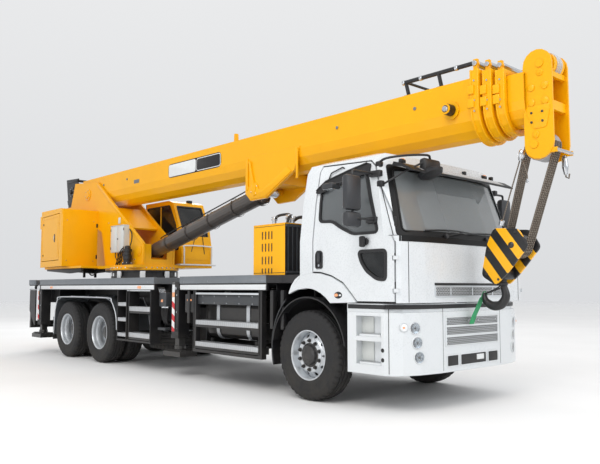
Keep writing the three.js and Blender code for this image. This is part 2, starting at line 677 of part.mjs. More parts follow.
function door(side) {
  const leaf = slab(doorOutline, side * (cabHalfWidth - 320), side * (cabHalfWidth + 60));
  const skin = cut(cabHull(0, cabBottom), cabHull(cabWall, cabBottom - 10));
  const windows = [sideWindow, peepWindow].map((points) => slab(
    points, side * (cabHalfWidth - 320), side * (cabHalfWidth + 60), 60));
  return join(cut(common(skin, leaf), windows, hingeRoom(doorHinge, side)), mirrorSet(side));
}

function bumperPlan(inset) {
  const w = cabHalfWidth - inset;
  const front = cabFrontX - inset;
  const back = 20 + archRadiusX + 40;
  return [[back, w], [front - 260, w], [front - 190, w - 40], [front - 110, w - 130], [front - 40, w - 330],
    [front, w - 630]];
}

function bumper() {
  const outer = bumperPlan(0);
  const full = bothHalves(outer);
  const hollow = bothHalves([[outer[0][0] - 60, cabHalfWidth - 150], [1200, cabHalfWidth - 150], [1330, 700],
    [1390, 560]]);
  const wrap = cut(plate(full, bumperBottom, bumperTop, 0), plate(hollow, bumperBottom - 10, bumperTop + 10));
  const recess = sides.flatMap((s) => [[500, 745], [795, 1010]].map(([low, high]) => box(
    800, 1150, s * (cabHalfWidth - 105), s * (cabHalfWidth + 20), low, high)));
  const arches = slab([...arc(20, 560, archRadiusX + 30, 500, -60, 90, 8), [20, 300]], -1300, 1300);
  const strip = bothHalves(outer.map(([x, y]) => [x - 25, y - 25]));
  const band = cut(plate(strip, bumperTop - 5, cabBottom - 8), plate(hollow, bumperTop - 10, cabBottom));
  const mount = box(cabFrontX - 270 + touchGap, cabFrontX - 50, -600, 600, 800, 900);
  return join(cut(join(wrap, band), recess, arches), mount);
}

function dashboard() {
  const panel = slab([[1110, 1560], [1110, 1720], [1200, 1810], [1290, 1835], [1290, 1560]], -900, 900);
  const console = box(1150, 1300, -150, 150, cabFloorTop + touchGap, 1600);
  const hub = new THREE.Vector3(860, 560, 1900);
  const lean = new THREE.Vector3(-0.42, 0, 0.91).normalize();
  const turn = new THREE.Quaternion().setFromUnitVectors(new THREE.Vector3(0, 0, 1), lean);
  const ring = new THREE.TorusGeometry(225, 17, 8, 24).applyQuaternion(turn).translate(...hub.toArray());
  const spokes = new THREE.BoxGeometry(440, 40, 20).applyQuaternion(turn).translate(...hub.toArray());
  const column = rod([1180, 560, 1680], hub.toArray(), 35, 10);
  return join(panel, console, solid(ring), solid(spokes), column, rod(hub.toArray(), [840, 560, 1915],
    60, 10));
}

function seat(x, y, floor, width) {
  const half = width / 2;
  const pedestal = box(x + 90, x + 400, y - 140, y + 140, floor, floor + 230);
  const cushion = slab([[x, floor + 220], [x + 520, floor + 230], [x + 530, floor + 330], [x + 480,
    floor + 360],
    [x, floor + 330]], y - half, y + half);
  const back = slab([[x, floor + 250], [x + 110, floor + 300], [x + 10, floor + 900], [x - 60, floor + 900],
    [x - 40, floor + 300]], y - half + 10, y + half - 10);
  const head = slab([[x - 50, floor + 890], [x + 5, floor + 890], [x - 5, floor + 1090], [x - 65,
    floor + 1090]],
    y - 120, y + 120);
  return join(pedestal, cushion, back, head);
}

function cabSeats() {
  const floor = cabFloorTop + touchGap;
  const base = box(150, 600, -720, 720, floor, floor + 12);
  return join(base, sides.map((s) => seat(180, s * 560, floor, 500)));
}

// ---------------------------------------------------------------- superstructure
function turretSide(side) {
  const points = [[540, turretFloor], [540, 2140], [-1450, 3525], [-2560, 3620], [-2750, 3115], [-1210, 2450],
    [-1000, turretFloor]].map(([x, z]) => [slewX + x, z]);
  return slab(points, side * plateInnerY, side * plateOuterY);
}

function turretFrame() {
  const [pivotX, pivotZ] = boomPivot;
  const [rodX, rodZ] = cylinderPivot;
  const w = plateInnerY + 5;
  const flange = rod([slewX, 0, ringTop], [slewX, 0, turretFloor + 5], ringRadius, 32);
  const floor = box(slewX - 1050, slewX + 560, -560, 560, turretFloor - 15, turretFloor + 40);
  const pivotPin = rod([pivotX, -plateOuterY - 25, pivotZ], [pivotX, plateOuterY + 25, pivotZ], 60, 20);
  const rodPin = rod([rodX, -w, rodZ], [rodX, w, rodZ], 55, 20);
  const slope = slab([[slewX - 60, 2480], [slewX - 700, 2925], [slewX - 720, 2895], [slewX - 80, 2450]],
    -w, w);
  const rearShelf = box(slewX - 3180, slewX - 2600, -plateOuterY + 5, plateOuterY - 5, 3060, 3110);
  const rearWeb = box(slewX - 2700, slewX - 2660, -w, w, 3090, 3180);
  const frontWeb = cut(box(slewX + 500, slewX + 530, -w, w, turretFloor, 2130),
    box(slewX + 490, slewX + 540, -170, 170, 1850, 2140));
  const platform = box(
    slewX - 900, slewX + 560, plateOuterY - 5, bodyHalfWidth - 60, turretFloor, turretFloor + 45);
  const shelves = sides.map((s) => box(
    slewX - 2650, slewX - 850, s * (plateOuterY - 5), s * (bodyHalfWidth - 330), turretFloor,
    turretFloor + 45));
  return join(flange, floor, sides.map((s) => turretSide(s)), pivotPin, rodPin, slope, rearShelf, rearWeb,
    frontWeb, platform, shelves);
}

const tailFrontX = { right: slewX - 1400, left: slewX - 950 };
const tailBreakX = slewX - 1500;
const tailRearX = slewX - 2830;
const tailY = bodyHalfWidth - 170;
const tailRearY = bodyHalfWidth - 300;
const tailBottom = turretFloor + 45;
const tailWall = 30;

function tailPlan(side, inset) {
  const inner = plateOuterY + touchGap + inset;
  const front = tailFrontX[sideName[side]] - inset;
  return [[front, inner], [front, tailY - inset], [tailBreakX, tailY - inset],
    [tailRearX + inset, tailRearY - inset], [tailRearX + inset, inner]].map(([x, y]) => [x, side * y]);
}

function tailBody(side, inset) {
  const wide = bodyHalfWidth * 2;
  const front = tailFrontX[sideName[side]] + 100;
  const profile = [[front, tailBottom + touchGap + inset], [tailRearX - 100, tailBottom + touchGap + inset],
    [tailRearX - 100, 2960 - inset], [tailBreakX, 2925 - inset], [front, 2890 - inset]];
  return common(plate(tailPlan(side, inset), 1600, 3100), slab(profile, -wide, wide));
}

const tailSlope = Math.atan2(tailY - tailRearY, tailBreakX - tailRearX);

function tailDoorPlan(grow) {
  const along = [Math.cos(tailSlope), Math.sin(tailSlope)];
  const across = [-Math.sin(tailSlope), Math.cos(tailSlope)];
  const point = (s, t) => [tailRearX + along[0] * s + across[0] * t,
    -(tailRearY + along[1] * s + across[1] * t)];
  return [point(60 - grow, 60), point(1240 + grow, 60), point(1240 + grow, -tailWall), point(60 - grow,
    -tailWall)];
}

const tailHinge = {
  x: tailRearX + Math.cos(tailSlope) * 1230,
  y: tailRearY + Math.sin(tailSlope) * 1230 - 12,
  heights: [2050, 2650],
};

function tailCabinet() {
  const shell = cut(tailBody(-1, 0), tailBody(-1, tailWall));
  const opening = plate(tailDoorPlan(doorGap).map(([x, y]) => [x, y + (y < -tailRearY ? 0 : 5)]), 1868, 2832);
  const rearBox = box(tailRearX - 450, tailRearX + 5, -800, -480, 2620, 2900);
  return join(cut(shell, opening), rearBox, hingeLugs(tailHinge, -1, 50));
}

function tailCabinetDoor() {
  const skin = cut(tailBody(-1, 0), tailBody(-1, tailWall - 2));
  return cut(common(skin, plate(tailDoorPlan(0), 1880, 2820)), hingeRoom(tailHinge, -1));
}

function counterweight() {
  const tail = tailBody(1, 0);
  return common(tail, box(tailRearX - 10, slewX - 900, 0, bodyHalfWidth, 1600, 3200));
}

const opRear = slewX - 850;
const opInnerY = plateOuterY + 150;
const opOuterY = bodyHalfWidth - 50;
const opWall = 35;

function operatorProfile(inset) {
  return [[opRear + inset, turretFloor + 45 + touchGap + inset], [opRear + 1380 - inset,
    turretFloor + 45 + touchGap + inset],
    [opRear + 1420 - inset, 1960], [opRear + 1300 - inset, 2520], [opRear + 1060 - inset, 3010 - inset],
    [opRear + 900, 3060 - inset], [opRear + inset, 3060 - inset]];
}

const opSideWindow = [[60, 2060], [60, 2960], [950, 2960], [1190, 2540], [1300, 2060]].map(([x,
  z]) => [opRear + x, z]);
const opDoorOutline = [[70, 1840], [70, 2990], [760, 2990], [760, 1840]].map(([x, z]) => [opRear + x, z]);
const opDoorWindow = [[120, 2080], [120, 2940], [710, 2940], [710, 2080]].map(([x, z]) => [opRear + x, z]);
const opHinge = { x: opRear + 80, y: opOuterY - 12, heights: [2020, 2700] };

function operatorCab() {
  const outer = slab(operatorProfile(0), opInnerY, opOuterY);
  const inner = slab(operatorProfile(opWall), opInnerY + opWall, opOuterY - opWall);
  const front = box(opRear + 900, opRear + 1500, opInnerY + 70, opOuterY - 70, 1880, 2940);
  const sideLight = slab(opSideWindow, opInnerY - 10, opInnerY + opWall + 10, 50);
  const roofLight = box(opRear + 250, opRear + 850, opInnerY + 120, opOuterY - 120, 3000, 3100);
  const doorway = slab(grown(opDoorOutline, doorGap), opOuterY - opWall - 10, opOuterY + 10);
  const quarter = slab([[830, 2060], [830, 2940], [930, 2940], [1170, 2540], [1290, 2060]]
    .map(([x, z]) => [opRear + x, z]), opOuterY - opWall - 10, opOuterY + 10, 40);
  const lugs = hingeLugs({ ...opHinge, x: opHinge.x - 50 }, 1, 50);
  const pins = opHinge.heights.map((z) => rod(
    [opHinge.x, opHinge.y, z - 40], [opHinge.x, opHinge.y, z], hingeRadius, 12));
  return join(cut(outer, inner, front, sideLight, roofLight, doorway, quarter), lugs, pins);
}

function operatorCabDoor() {
  const leaf = slab(opDoorOutline, opOuterY - opWall + 3, opOuterY);
  return cut(leaf, slab(opDoorWindow, opOuterY - opWall - 10, opOuterY + 10, 50), hingeRoom(opHinge, 1));
}

function operatorSeat() {
  const y = (opInnerY + opOuterY) / 2;
  const floor = turretFloor + 45 + opWall + 2 * touchGap;
  const desk = box(opRear + 950, opRear + 1060, y - 200, y + 200, floor, floor + 750);
  const tread = box(opRear + 150, opRear + 1060, y - 200, y + 200, floor, floor + 12);
  return join(tread, seat(opRear + 250, y, floor, 460), desk);
}

function winch() {
  const x = slewX - 2950;
  const base = 3110 + touchGap;
  const cheek = [[x - 150, base], [x + 200, base], [x + 330, 3760], [x - 290, 3790]];
  const cheeks = sides.map((s) => slab(cheek, s * 215, s * 240));
  const drum = rod([x + 20, -220, 3480], [x + 20, 220, 3480], 210, 20);
  return join(cheeks, drum, box(x - 150, x + 200, -240, 240, base, base + 40));
}

function electricalBox() {
  const y = -plateOuterY - touchGap;
  return box(slewX - 560, slewX - 30, y, y - 120, 2000, 2520);
}

// ---------------------------------------------------------------- boom
function boomSection(step) {
  const shrink = step * (boomWall + boomClearance);
  return { w: boomHalfWidth - shrink, top: boomTop - shrink, bottom: boomBottom + shrink };
}

function boomOutline({ w, top, bottom }, grow) {
  const low = arc(0, boomCrease, w + grow, boomCrease - bottom + grow, 0, -180, 8);
  return [[-w - grow, top + grow], [w + grow, top + grow], ...low];
}

function boomTube(section, from, to) {
  return cut(bar(boomOutline(section, 0), from, to), bar(boomOutline(section, -boomWall), from - 10,
    to + 10));
}

function collar(step, from) {
  const section = boomSection(step);
  const ring = cut(
    bar(boomOutline(section, 62 - 8 * step), from, from + collarDepth),
    bar(boomOutline(section, -boomWall), from - 10, from + collarDepth + 10),
  );
  const pad = box(from, from + collarDepth, -70, 70, section.bottom - 5,
    section.bottom + boomWall + boomClearance - touchGap);
  const ears = sides.map((s) => box(
    from + 10, from + 60, s * (section.w - 30), s * (section.w + 10), section.top, 3840 - 40 * step));
  const roller = rod([from + 35, -section.w, 3790 - 40 * step], [from + 35, section.w, 3790 - 40 * step],
    34, 12);
  return join(ring, pad, ears, roller);
}

function boomBase() {
  const [pivotX, pivotZ] = boomPivot;
  const [eyeX, eyeZ] = cylinderEye;
  const section = boomSection(0);
  const tube = boomTube(section, pivotX - 350, boomFrontX - 20);
  const boss = rod([pivotX, -section.w, pivotZ], [pivotX, section.w, pivotZ], 110, 20);
  const bore = rod([pivotX, -section.w - 40, pivotZ], [pivotX, section.w + 40, pivotZ], 60.95, 20);
  const cheek = [[eyeX - 230, 3320], [eyeX + 1020, 3320], [eyeX + 900, 2990], [eyeX + 260, 2650],
    [eyeX - 100, 2640],
    [eyeX - 230, 2760]];
  const cheeks = sides.map((s) => slab(cheek, s * (section.w - 40), s * (section.w + 10)));
  const pin = rod([eyeX, -section.w, eyeZ], [eyeX, section.w, eyeZ], 50, 20);
  const front = box(eyeX + 250, eyeX + 600, -section.w + 20, section.w - 20, 2830, 3000);
  const fin = slab([[eyeX - 900, section.top - 5], [eyeX - 700, section.top - 5], [eyeX - 840, 3700],
    [eyeX - 850, 3860],
    [eyeX - 890, 3860]], -30, 30);
  const frame = [
    rod([boomFrontX - 1070, -section.w, 3800], [boomFrontX - 60, -section.w, 3800], 24, 8),
    rod([boomFrontX - 1040, -section.w, 3800], [boomFrontX - 1040, -section.w + 60, section.top - 5], 22, 8),
    rod([boomFrontX - 560, -section.w, 3800], [boomFrontX - 560, -section.w + 60, section.top - 5], 22, 8),
  ];
  const sidePin = rod([boomFrontX - 390, -section.w + 5, 3320], [boomFrontX - 390, -section.w - 130,
    3320], 60, 12);
  const outside = cut(join(cheeks, pin, front), bar(boomOutline(section, -2), pivotX, boomFrontX));
  const shell = join(cut(join(tube, boss), bore), outside, fin, frame, sidePin);
  return join(shell, collar(0, boomFrontX - collarDepth));
}

function innerSection(step) {
  const from = boomPivot[0] + 650 + 120 * step;
  const start = boomFrontX + 140 * (step - 1) + 40;
  return join(boomTube(boomSection(step), from, start + collarDepth), collar(step, start),
    slidePads(step, from));
}

// Slide pads on top of a section's rear end, just under the section around it.
function slidePads(step, from) {
  const { w, top } = boomSection(step);
  return box(from, from + 120, -w + 60, w - 60, top - 5, top + boomClearance - touchGap);
}

const headX = boomFrontX + 600;
const lowSheave = [headX - 50, 2800];
const highSheave = [headX + 30, 3645];

function boomHead() {
  const section = boomSection(3);
  const from = boomPivot[0] + 650 + 360;
  const tube = boomTube(section, from, headX - 130);
  const cheek = [...arc(headX, 3640, 160, 160, 0, 180, 8), ...arc(headX, 2800, 160, 160, 180, 360, 8)];
  const cheeks = sides.map((s) => slab(cheek, s * (headPlateY - 25), s * headPlateY));
  const wall = box(headX - 150, headX - 100, -headPlateY, headPlateY, section.bottom, section.top);
  const face = [[3150, 3250], [3500, 3560]].map(([low, high]) => box(
    headX + 90, headX + 130, -headPlateY + 5, headPlateY - 5, low, high));
  const sheaves = [[lowSheave, sheaveRadius, 32], [highSheave, sheaveRadius - 20, 20]].map(([[x, z], r,
    n]) => join(
    rod([x, -110, z], [x, 110, z], r, n), rod([x, -headPlateY - 12, z], [x, headPlateY + 12, z], 45, 12)));
  const guard = box(headX + 165, headX + 190, -headPlateY + 10, headPlateY - 10, 2700, 2730);
  const guardArms = sides.map((s) => box(
    headX + 100, headX + 190, s * (headPlateY - 30), s * (headPlateY - 10), 2690, 2740));
  const pads = slidePads(3, from);
  return join(tube, cheeks, wall, face, sheaves, guard, guardArms, pads);
}

function along([x0, z0], [x1, z1], distance) {
  const length = Math.hypot(x1 - x0, z1 - z0);
  return [x0 + ((x1 - x0) * distance) / length, z0 + ((z1 - z0) * distance) / length];
}

const barrelEnd = 3330;

function liftCylinder() {
  const at = (d, y = 0) => {
    const [x, z] = along(cylinderPivot, cylinderEye, d);
    return [x, y, z];
  };
  const barrel = rod(at(100), at(barrelEnd), cylinderRadius, 20);
  const bore = rod(at(150), at(barrelEnd + 100), rodRadius + 8, 20);
  const gland = cut(rod(at(barrelEnd - 40), at(barrelEnd + 50), cylinderRadius + 12, 20),
    rod(at(barrelEnd - 50), at(barrelEnd + 60), rodRadius + 0.6, 20));
  const eye = rod(at(0, -150), at(0, 150), 125, 20);
  const neck = rod(at(0), at(140), 90, 12);
  const hole = rod(at(0, -170), at(0, 170), 55.9, 20);
  return cut(join(cut(barrel, bore), gland, eye, neck), hole);
}

function liftCylinderRod() {
  const length = Math.hypot(cylinderEye[0] - cylinderPivot[0], cylinderEye[1] - cylinderPivot[1]);
  const at = (d, y = 0) => {
    const [x, z] = along(cylinderPivot, cylinderEye, d);
    return [x, y, z];
  };
  const shaft = rod(at(170), at(length - 80), rodRadius, 20);
  const eye = rod(at(length, -120), at(length, 120), 100, 20);
  const room = rod(at(length, -140), at(length, 140), 50.9, 20);
  const [x, z] = cylinderEye;
  const mouth = slab([[x + 170, z + 5], [x + 170, z + 300], [x - 500, z + 300], [x - 170, z + 60],
    [x - 75, z + 5]],
    -140, 140);
  return cut(join(shaft, eye), mouth, room);
}

// ---------------------------------------------------------------- hook
const blockOutline = [[-530, 1960], [-240, 1940], [-115, 1750], [-380, 1460], [-520, 1335], [-690, 1440],
  [-620, 1770]]
  .map(([x, z]) => [headX - 50 + x, z]);
const blockSheave = [headX - 370, 1765];
const blockSheaveRadius = 118;

function hookBlock() {
  const cheeks = sides.map((s) => slab(blockOutline, s * 115, s * 150, 30));
  const [x, z] = blockSheave;
  const sheave = rod([x, -105, z], [x, 105, z], blockSheaveRadius, 20);
  const axle = rod([x, -165, z], [x, 165, z], 40, 12);
  const trunnion = box(headX - 660, headX - 480, -120, 120, 1400, 1510);
  const hookPath = [[-575, 1480], [-575, 1390], [-545, 1300], [-530, 1210], [-590, 1125], [-690, 1108],
    [-780, 1160],
    [-800, 1250]].map(([u, v]) => [headX + u, 0, v]);
  const hook = bent(hookPath, roundSection(36, 8), 18);
  return join(cheeks, sheave, axle, trunnion, hook);
}

function hoistRopes() {
  const [sx, sz] = blockSheave;
  const [lx, lz] = lowSheave;
  const half = 11;
  const turn = (x, z, r, degrees) => {
    const a = THREE.MathUtils.degToRad(degrees);
    return [x + r * Math.cos(a), z + r * Math.sin(a)];
  };
  const away = THREE.MathUtils.radToDeg(Math.atan2(lz - sz, lx - sx));
  const wrap = (blockSheaveRadius + 0.6) / Math.cos(Math.PI / 16);
  const inner = [turn(lx, lz, sheaveRadius + 0.3, away + 105)];
  for (let i = 0; i <= 8; i += 1) inner.push(turn(sx, sz, wrap, away + 90 + (180 * i) / 8));
  inner.push(turn(lx, lz, sheaveRadius + 0.3, away - 105));
  const outer = [turn(lx, lz, sheaveRadius + 0.6 + 2 * half, away - 108)];
  for (let i = 8; i >= 0; i -= 1) outer.push(turn(sx, sz, wrap + 2 * half, away + 90 + (180 * i) / 8));
  outer.push(turn(lx, lz, sheaveRadius + 0.6 + 2 * half, away + 108));
  return slab([...inner, ...outer], -90, 90);
}

function tieDownStrap() {
  const x0 = cabFrontX + 52;
  const x1 = headX - 829.4;
  return slab([[x0, 905], [x0 + 12, 905], [x1, 1190], [x1 - 3, 1215], [x1 - 12, 1208]], -25, 25);
}

// ---------------------------------------------------------------- assembly
add('chassis_frame', chassisFrame(), frameBlack);
add('engine_block', box(-780, 480, -(railOuterY - railWidth - touchGap),
  railOuterY - railWidth - touchGap, 620, 1280), darkSteel);
add('front_axle', frontAxle(), frameBlack);
add('middle_axle', driveAxle(middleAxleX), frameBlack);
add('rear_axle', driveAxle(rearAxleX), frameBlack);
add('bogie_suspension', bogieSuspension(), frameBlack);
add('crane_subframe', craneSubframe(), frameBlack);
add('rear_deck', rearDeck(), chequerPlate);
add('front_deck', frontDeck(), chequerPlate);
add('fuel_tank', fuelTank(), darkSteel);
add('battery_box', sideTank(1, frontDeckFrom + 420, frontDeckFrom + 1750), darkSteel);
add('spare_wheel', spareWheel(), rubberBlack);
add('oil_tank', oilTank(), craneYellow);
add('cab_shell', cabShell(), cabWhite);
add('windshield', windshield(), clearGlass);
add('bumper', bumper(), cabWhite);
add('dashboard', dashboard(), trimGrey);
add('cab_seats', cabSeats(), trimGrey);
add('rear_bumper', rearBumper(), frameBlack);
sides.forEach((side) => {
  const label = sideName[side];
  add(`rear_mudguard_${label}`, rearMudguard(side), galvanised);
  add(`front_mudguard_${label}`, frontMudguard(side), trimGrey);
  add(`knuckle_${label}`, knuckle(side), darkSteel);
  add(`front_wheel_${label}`, frontWheel(side), wheelGrey);
  add(`middle_wheels_${label}`, twinWheels(middleAxleX, side), wheelGrey);
  add(`rear_wheels_${label}`, twinWheels(rearAxleX, side), wheelGrey);
  add(`door_${label}`, door(side), cabWhite);
  ['front', 'rear'].forEach((end) => {
    add(`${end}_outrigger_beam_${label}`, outriggerBeam(channels[end][label], side), frameBlack);
    add(`${end}_outrigger_jack_${label}`, outriggerJack(channels[end][label], side), darkSteel);
  });
});
add('turret_frame', turretFrame(), craneYellow);
add('tail_cabinet', tailCabinet(), craneYellow);
add('tail_cabinet_door', tailCabinetDoor(), craneYellow);
add('counterweight', counterweight(), craneYellow);
add('operator_cab', operatorCab(), craneYellow);
add('operator_cab_door', operatorCabDoor(), craneYellow);
add('operator_seat', operatorSeat(), trimGrey);
add('winch', winch(), frameBlack);
add('electrical_box', electricalBox(), panelGrey);
add('boom_base', boomBase(), craneYellow);
add('boom_section_2', innerSection(1), craneYellow);
add('boom_section_3', innerSection(2), craneYellow);
add('boom_head', boomHead(), craneYellow);
add('lift_cylinder', liftCylinder(), darkSteel);
add('lift_cylinder_rod', liftCylinderRod(), galvanised);
add('hook_block', hookBlock(), craneYellow);
add('hoist_ropes', hoistRopes(), darkSteel);
add('tie_down_strap', tieDownStrap(), strapGreen);

// The origin is on the ground below the middle of the whole machine.
const extent = new THREE.Box3().setFromObject(crane);
const middle = extent.getCenter(new THREE.Vector3());
crane.position.set(-middle.x, -middle.y, -extent.min.z);

export default crane;
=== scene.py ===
# Looks for a three-axle truck crane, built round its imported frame. Metres; x in the pieces counts from the front axle.
import json
import math

import bmesh
import bpy
from mathutils import Matrix, Vector


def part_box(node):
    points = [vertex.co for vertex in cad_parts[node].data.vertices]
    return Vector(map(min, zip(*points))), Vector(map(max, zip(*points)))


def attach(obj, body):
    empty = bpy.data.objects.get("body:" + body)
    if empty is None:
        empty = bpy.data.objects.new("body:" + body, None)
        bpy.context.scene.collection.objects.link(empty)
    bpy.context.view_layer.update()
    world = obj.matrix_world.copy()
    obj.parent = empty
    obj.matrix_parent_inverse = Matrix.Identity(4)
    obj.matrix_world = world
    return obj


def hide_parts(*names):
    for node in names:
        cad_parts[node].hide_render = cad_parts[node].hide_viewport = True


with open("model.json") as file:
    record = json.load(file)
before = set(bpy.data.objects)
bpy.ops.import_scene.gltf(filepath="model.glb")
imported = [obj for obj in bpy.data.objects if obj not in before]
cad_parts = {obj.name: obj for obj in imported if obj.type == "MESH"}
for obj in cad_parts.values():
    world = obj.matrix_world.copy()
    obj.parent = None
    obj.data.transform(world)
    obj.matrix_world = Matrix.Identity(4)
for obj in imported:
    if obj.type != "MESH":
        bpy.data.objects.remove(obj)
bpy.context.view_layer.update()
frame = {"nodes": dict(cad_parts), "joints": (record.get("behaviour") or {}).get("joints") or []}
axleX = next(j["pos_m"][0] for j in frame["joints"] if j["name"] == "steer_right")
sides = {"right": -1, "left": 1}
scene = bpy.context.scene
paint = {}  # every material by its name
print("frame loaded")


class Shape:
    # Gathers the solids of one piece.
    def __init__(self):
        self.mesh = bmesh.new()

    def take(self, part, slot=0, soft=0):
        bmesh.ops.recalc_face_normals(part, faces=part.faces)
        if soft > 0:
            edges = [e for e in part.edges if len(e.link_faces) == 2 and e.calc_face_angle(0) > 0.3]
            bmesh.ops.bevel(part, geom=edges, offset=soft, segments=2, profile=0.5, affect="EDGES", clamp_overlap=True)
        made = {v: self.mesh.verts.new(v.co) for v in part.verts}
        for f in part.faces:
            self.mesh.faces.new([made[v] for v in f.verts]).material_index = slot
        part.free()
        return self

    def box(self, x0, x1, y0, y1, z0, z1, soft=0.004, slot=0, turn=None):
        part = bmesh.new()
        bmesh.ops.create_cube(part, size=1)
        middle = Vector((x0 + x1, y0 + y1, z0 + z1)) / 2
        size = Vector((abs(x1 - x0), abs(y1 - y0), abs(z1 - z0)))
        for v in part.verts:
            v.co = Vector(a * b for a, b in zip(v.co, size))
            if turn:
                v.co = turn @ v.co
            v.co += middle
        return self.take(part, slot, min(soft, min(size) * 0.45))

    # Joins rows of points with faces. A row of one point is a tip.
    def skin(self, rows, slot=0, soft=0, around=True, closed=False, capped=False):
        part = bmesh.new()
        rows = [[part.verts.new(p) for p in row] for row in rows]
        for a, b in list(zip(rows, rows[1:])) + ([(rows[-1], rows[0])] if closed else []):
            count = max(len(a), len(b))
            for i in range(count if around else count - 1):
                j = (i + 1) % count
                corners = list(dict.fromkeys([a[i % len(a)], a[j % len(a)], b[j % len(b)], b[i % len(b)]]))
                if len(corners) > 2:
                    part.faces.new(corners)
        if capped:
            part.faces.new(rows[0][::-1])
            part.faces.new(rows[-1])
        return self.take(part, slot, soft)

    def prism(self, points, low, high, plane="xz", soft=0.003, slot=0):
        place = {"xz": lambda a, b, t: (a, t, b), "yz": lambda a, b, t: (t, a, b)}[plane]
        return self.skin([[place(a, b, t) for a, b in points] for t in (low, high)], slot, soft, capped=True)

    # Turns a profile of (radius, height along the axis). An open profile is closed at the axis.
    def lathe(self, profile, centre, axis, count=32, slot=0, closed=False):
        if not closed:
            first, last = [[(0, end[1])] if end[0] else [] for end in (profile[0], profile[-1])]
            profile = first + profile + last
        axis = Vector(axis).normalized()
        side = axis.orthogonal().normalized()
        other = axis.cross(side)
        rows = []
        for radius, along in profile:
            middle = Vector(centre) + axis * along
            rows.append(ringOf(middle, radius, count, across=side, up=other) if radius > 0 else [middle])
        return self.skin(rows, slot, closed=closed)

    def disc(self, centre, axis, radius, thick, count=24, slot=0):
        s = min(0.003, radius * 0.4, thick * 0.45)
        return self.lathe([(radius - s, 0), (radius, s), (radius, thick - s), (radius - s, thick)], centre, axis, count, slot)

    def tube(self, points, radius, count=8, slot=0, closed=False):
        path = [Vector(p) for p in points]
        rows = []
        normal = None
        for i, p in enumerate(path):
            before = path[i - 1] if i or closed else p
            after = path[(i + 1) % len(path)] if i + 1 < len(path) or closed else p
            heading = (after - before).normalized()
            normal = heading.orthogonal() if normal is None else normal - heading * normal.dot(heading)
            normal.normalize()
            girth = radius[i] if isinstance(radius, list) else radius
            rows.append(ringOf(p, girth, count, across=normal, up=heading.cross(normal)))
        return self.skin(rows, slot, closed=closed, capped=not closed)

    def hose(self, points, steps, radius, count=8, slot=0):
        return self.tube(curvePath(points, steps), radius, count, slot)

    def bolts(self, places, axis, radius=0.012, height=0.012, slot=0):
        for p in places:
            self.lathe([(radius, 0), (radius, height * 0.8), (radius * 0.8, height)], p, axis, 6, slot)
        return self


def ringOf(centre, radius, count, start=0.0, across=(1, 0, 0), up=(0, 0, 1)):
    angles = [start + 2 * math.pi * i / count for i in range(count)]
    return [Vector(centre) + radius * (math.cos(t) * Vector(across) + math.sin(t) * Vector(up)) for t in angles]


def curvePath(points, steps=5):
    path = [Vector(p) for p in points]
    path = [2 * path[0] - path[1]] + path + [2 * path[-1] - path[-2]]
    out = []
    for a, b, c, d in zip(path, path[1:], path[2:], path[3:]):
        for k in range(steps):
            t = k / steps
            out.append(0.5 * (2 * b + (c - a) * t + (2 * a - 5 * b + 4 * c - d) * t * t + (3 * b - a - 3 * c + d) * t ** 3))
    return out + [path[-2]]


def arcPoints(x, z, radius, start, stop, count, squeeze=1.0):
    angles = [math.radians(start + (stop - start) * i / count) for i in range(count + 1)]
    return [(x + radius * math.cos(t), z + radius * squeeze * math.sin(t)) for t in angles]


def roundedOutline(points, radius, steps=4):
    out = []
    for i, p in enumerate(points):
        a, b, c = Vector(points[i - 1]), Vector(p), Vector(points[(i + 1) % len(points)])
        reach = min(radius, (a - b).length * 0.45, (c - b).length * 0.45)
        start, stop = b + (a - b).normalized() * reach, b + (c - b).normalized() * reach
        out += [tuple(start.lerp(b, t).lerp(b.lerp(stop, t), t)) for t in (k / steps for k in range(steps + 1))]
    return out


def plateOutline(u0, u1, v0, v1, radius, steps=4):
    return roundedOutline([(u0, v0), (u1, v0), (u1, v1), (u0, v1)], radius, steps)


def piece(name, shape, body, slotName, *finishes, angle=35, replaces=()):
    mesh = bpy.data.meshes.new(name)
    bmesh.ops.translate(shape.mesh, vec=(axleX, 0, 0), verts=shape.mesh.verts)
    shape.mesh.to_mesh(mesh)
    shape.mesh.free()
    for finish in finishes:
        mesh.materials.append(paint[finish])
    mesh.shade_smooth()
    mesh.set_sharp_from_angle(angle=math.radians(angle))
    made = bpy.data.objects.new(name, mesh)
    scene.collection.objects.link(made)
    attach(made, body)
    if replaces:
        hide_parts(*replaces)
    return made


def shade(code):
    values = [int(code[i:i + 2], 16) / 255 for i in (1, 3, 5)]
    return tuple(v / 12.92 if v <= 0.04045 else ((v + 0.055) / 1.055) ** 2.4 for v in values) + (1.0,)


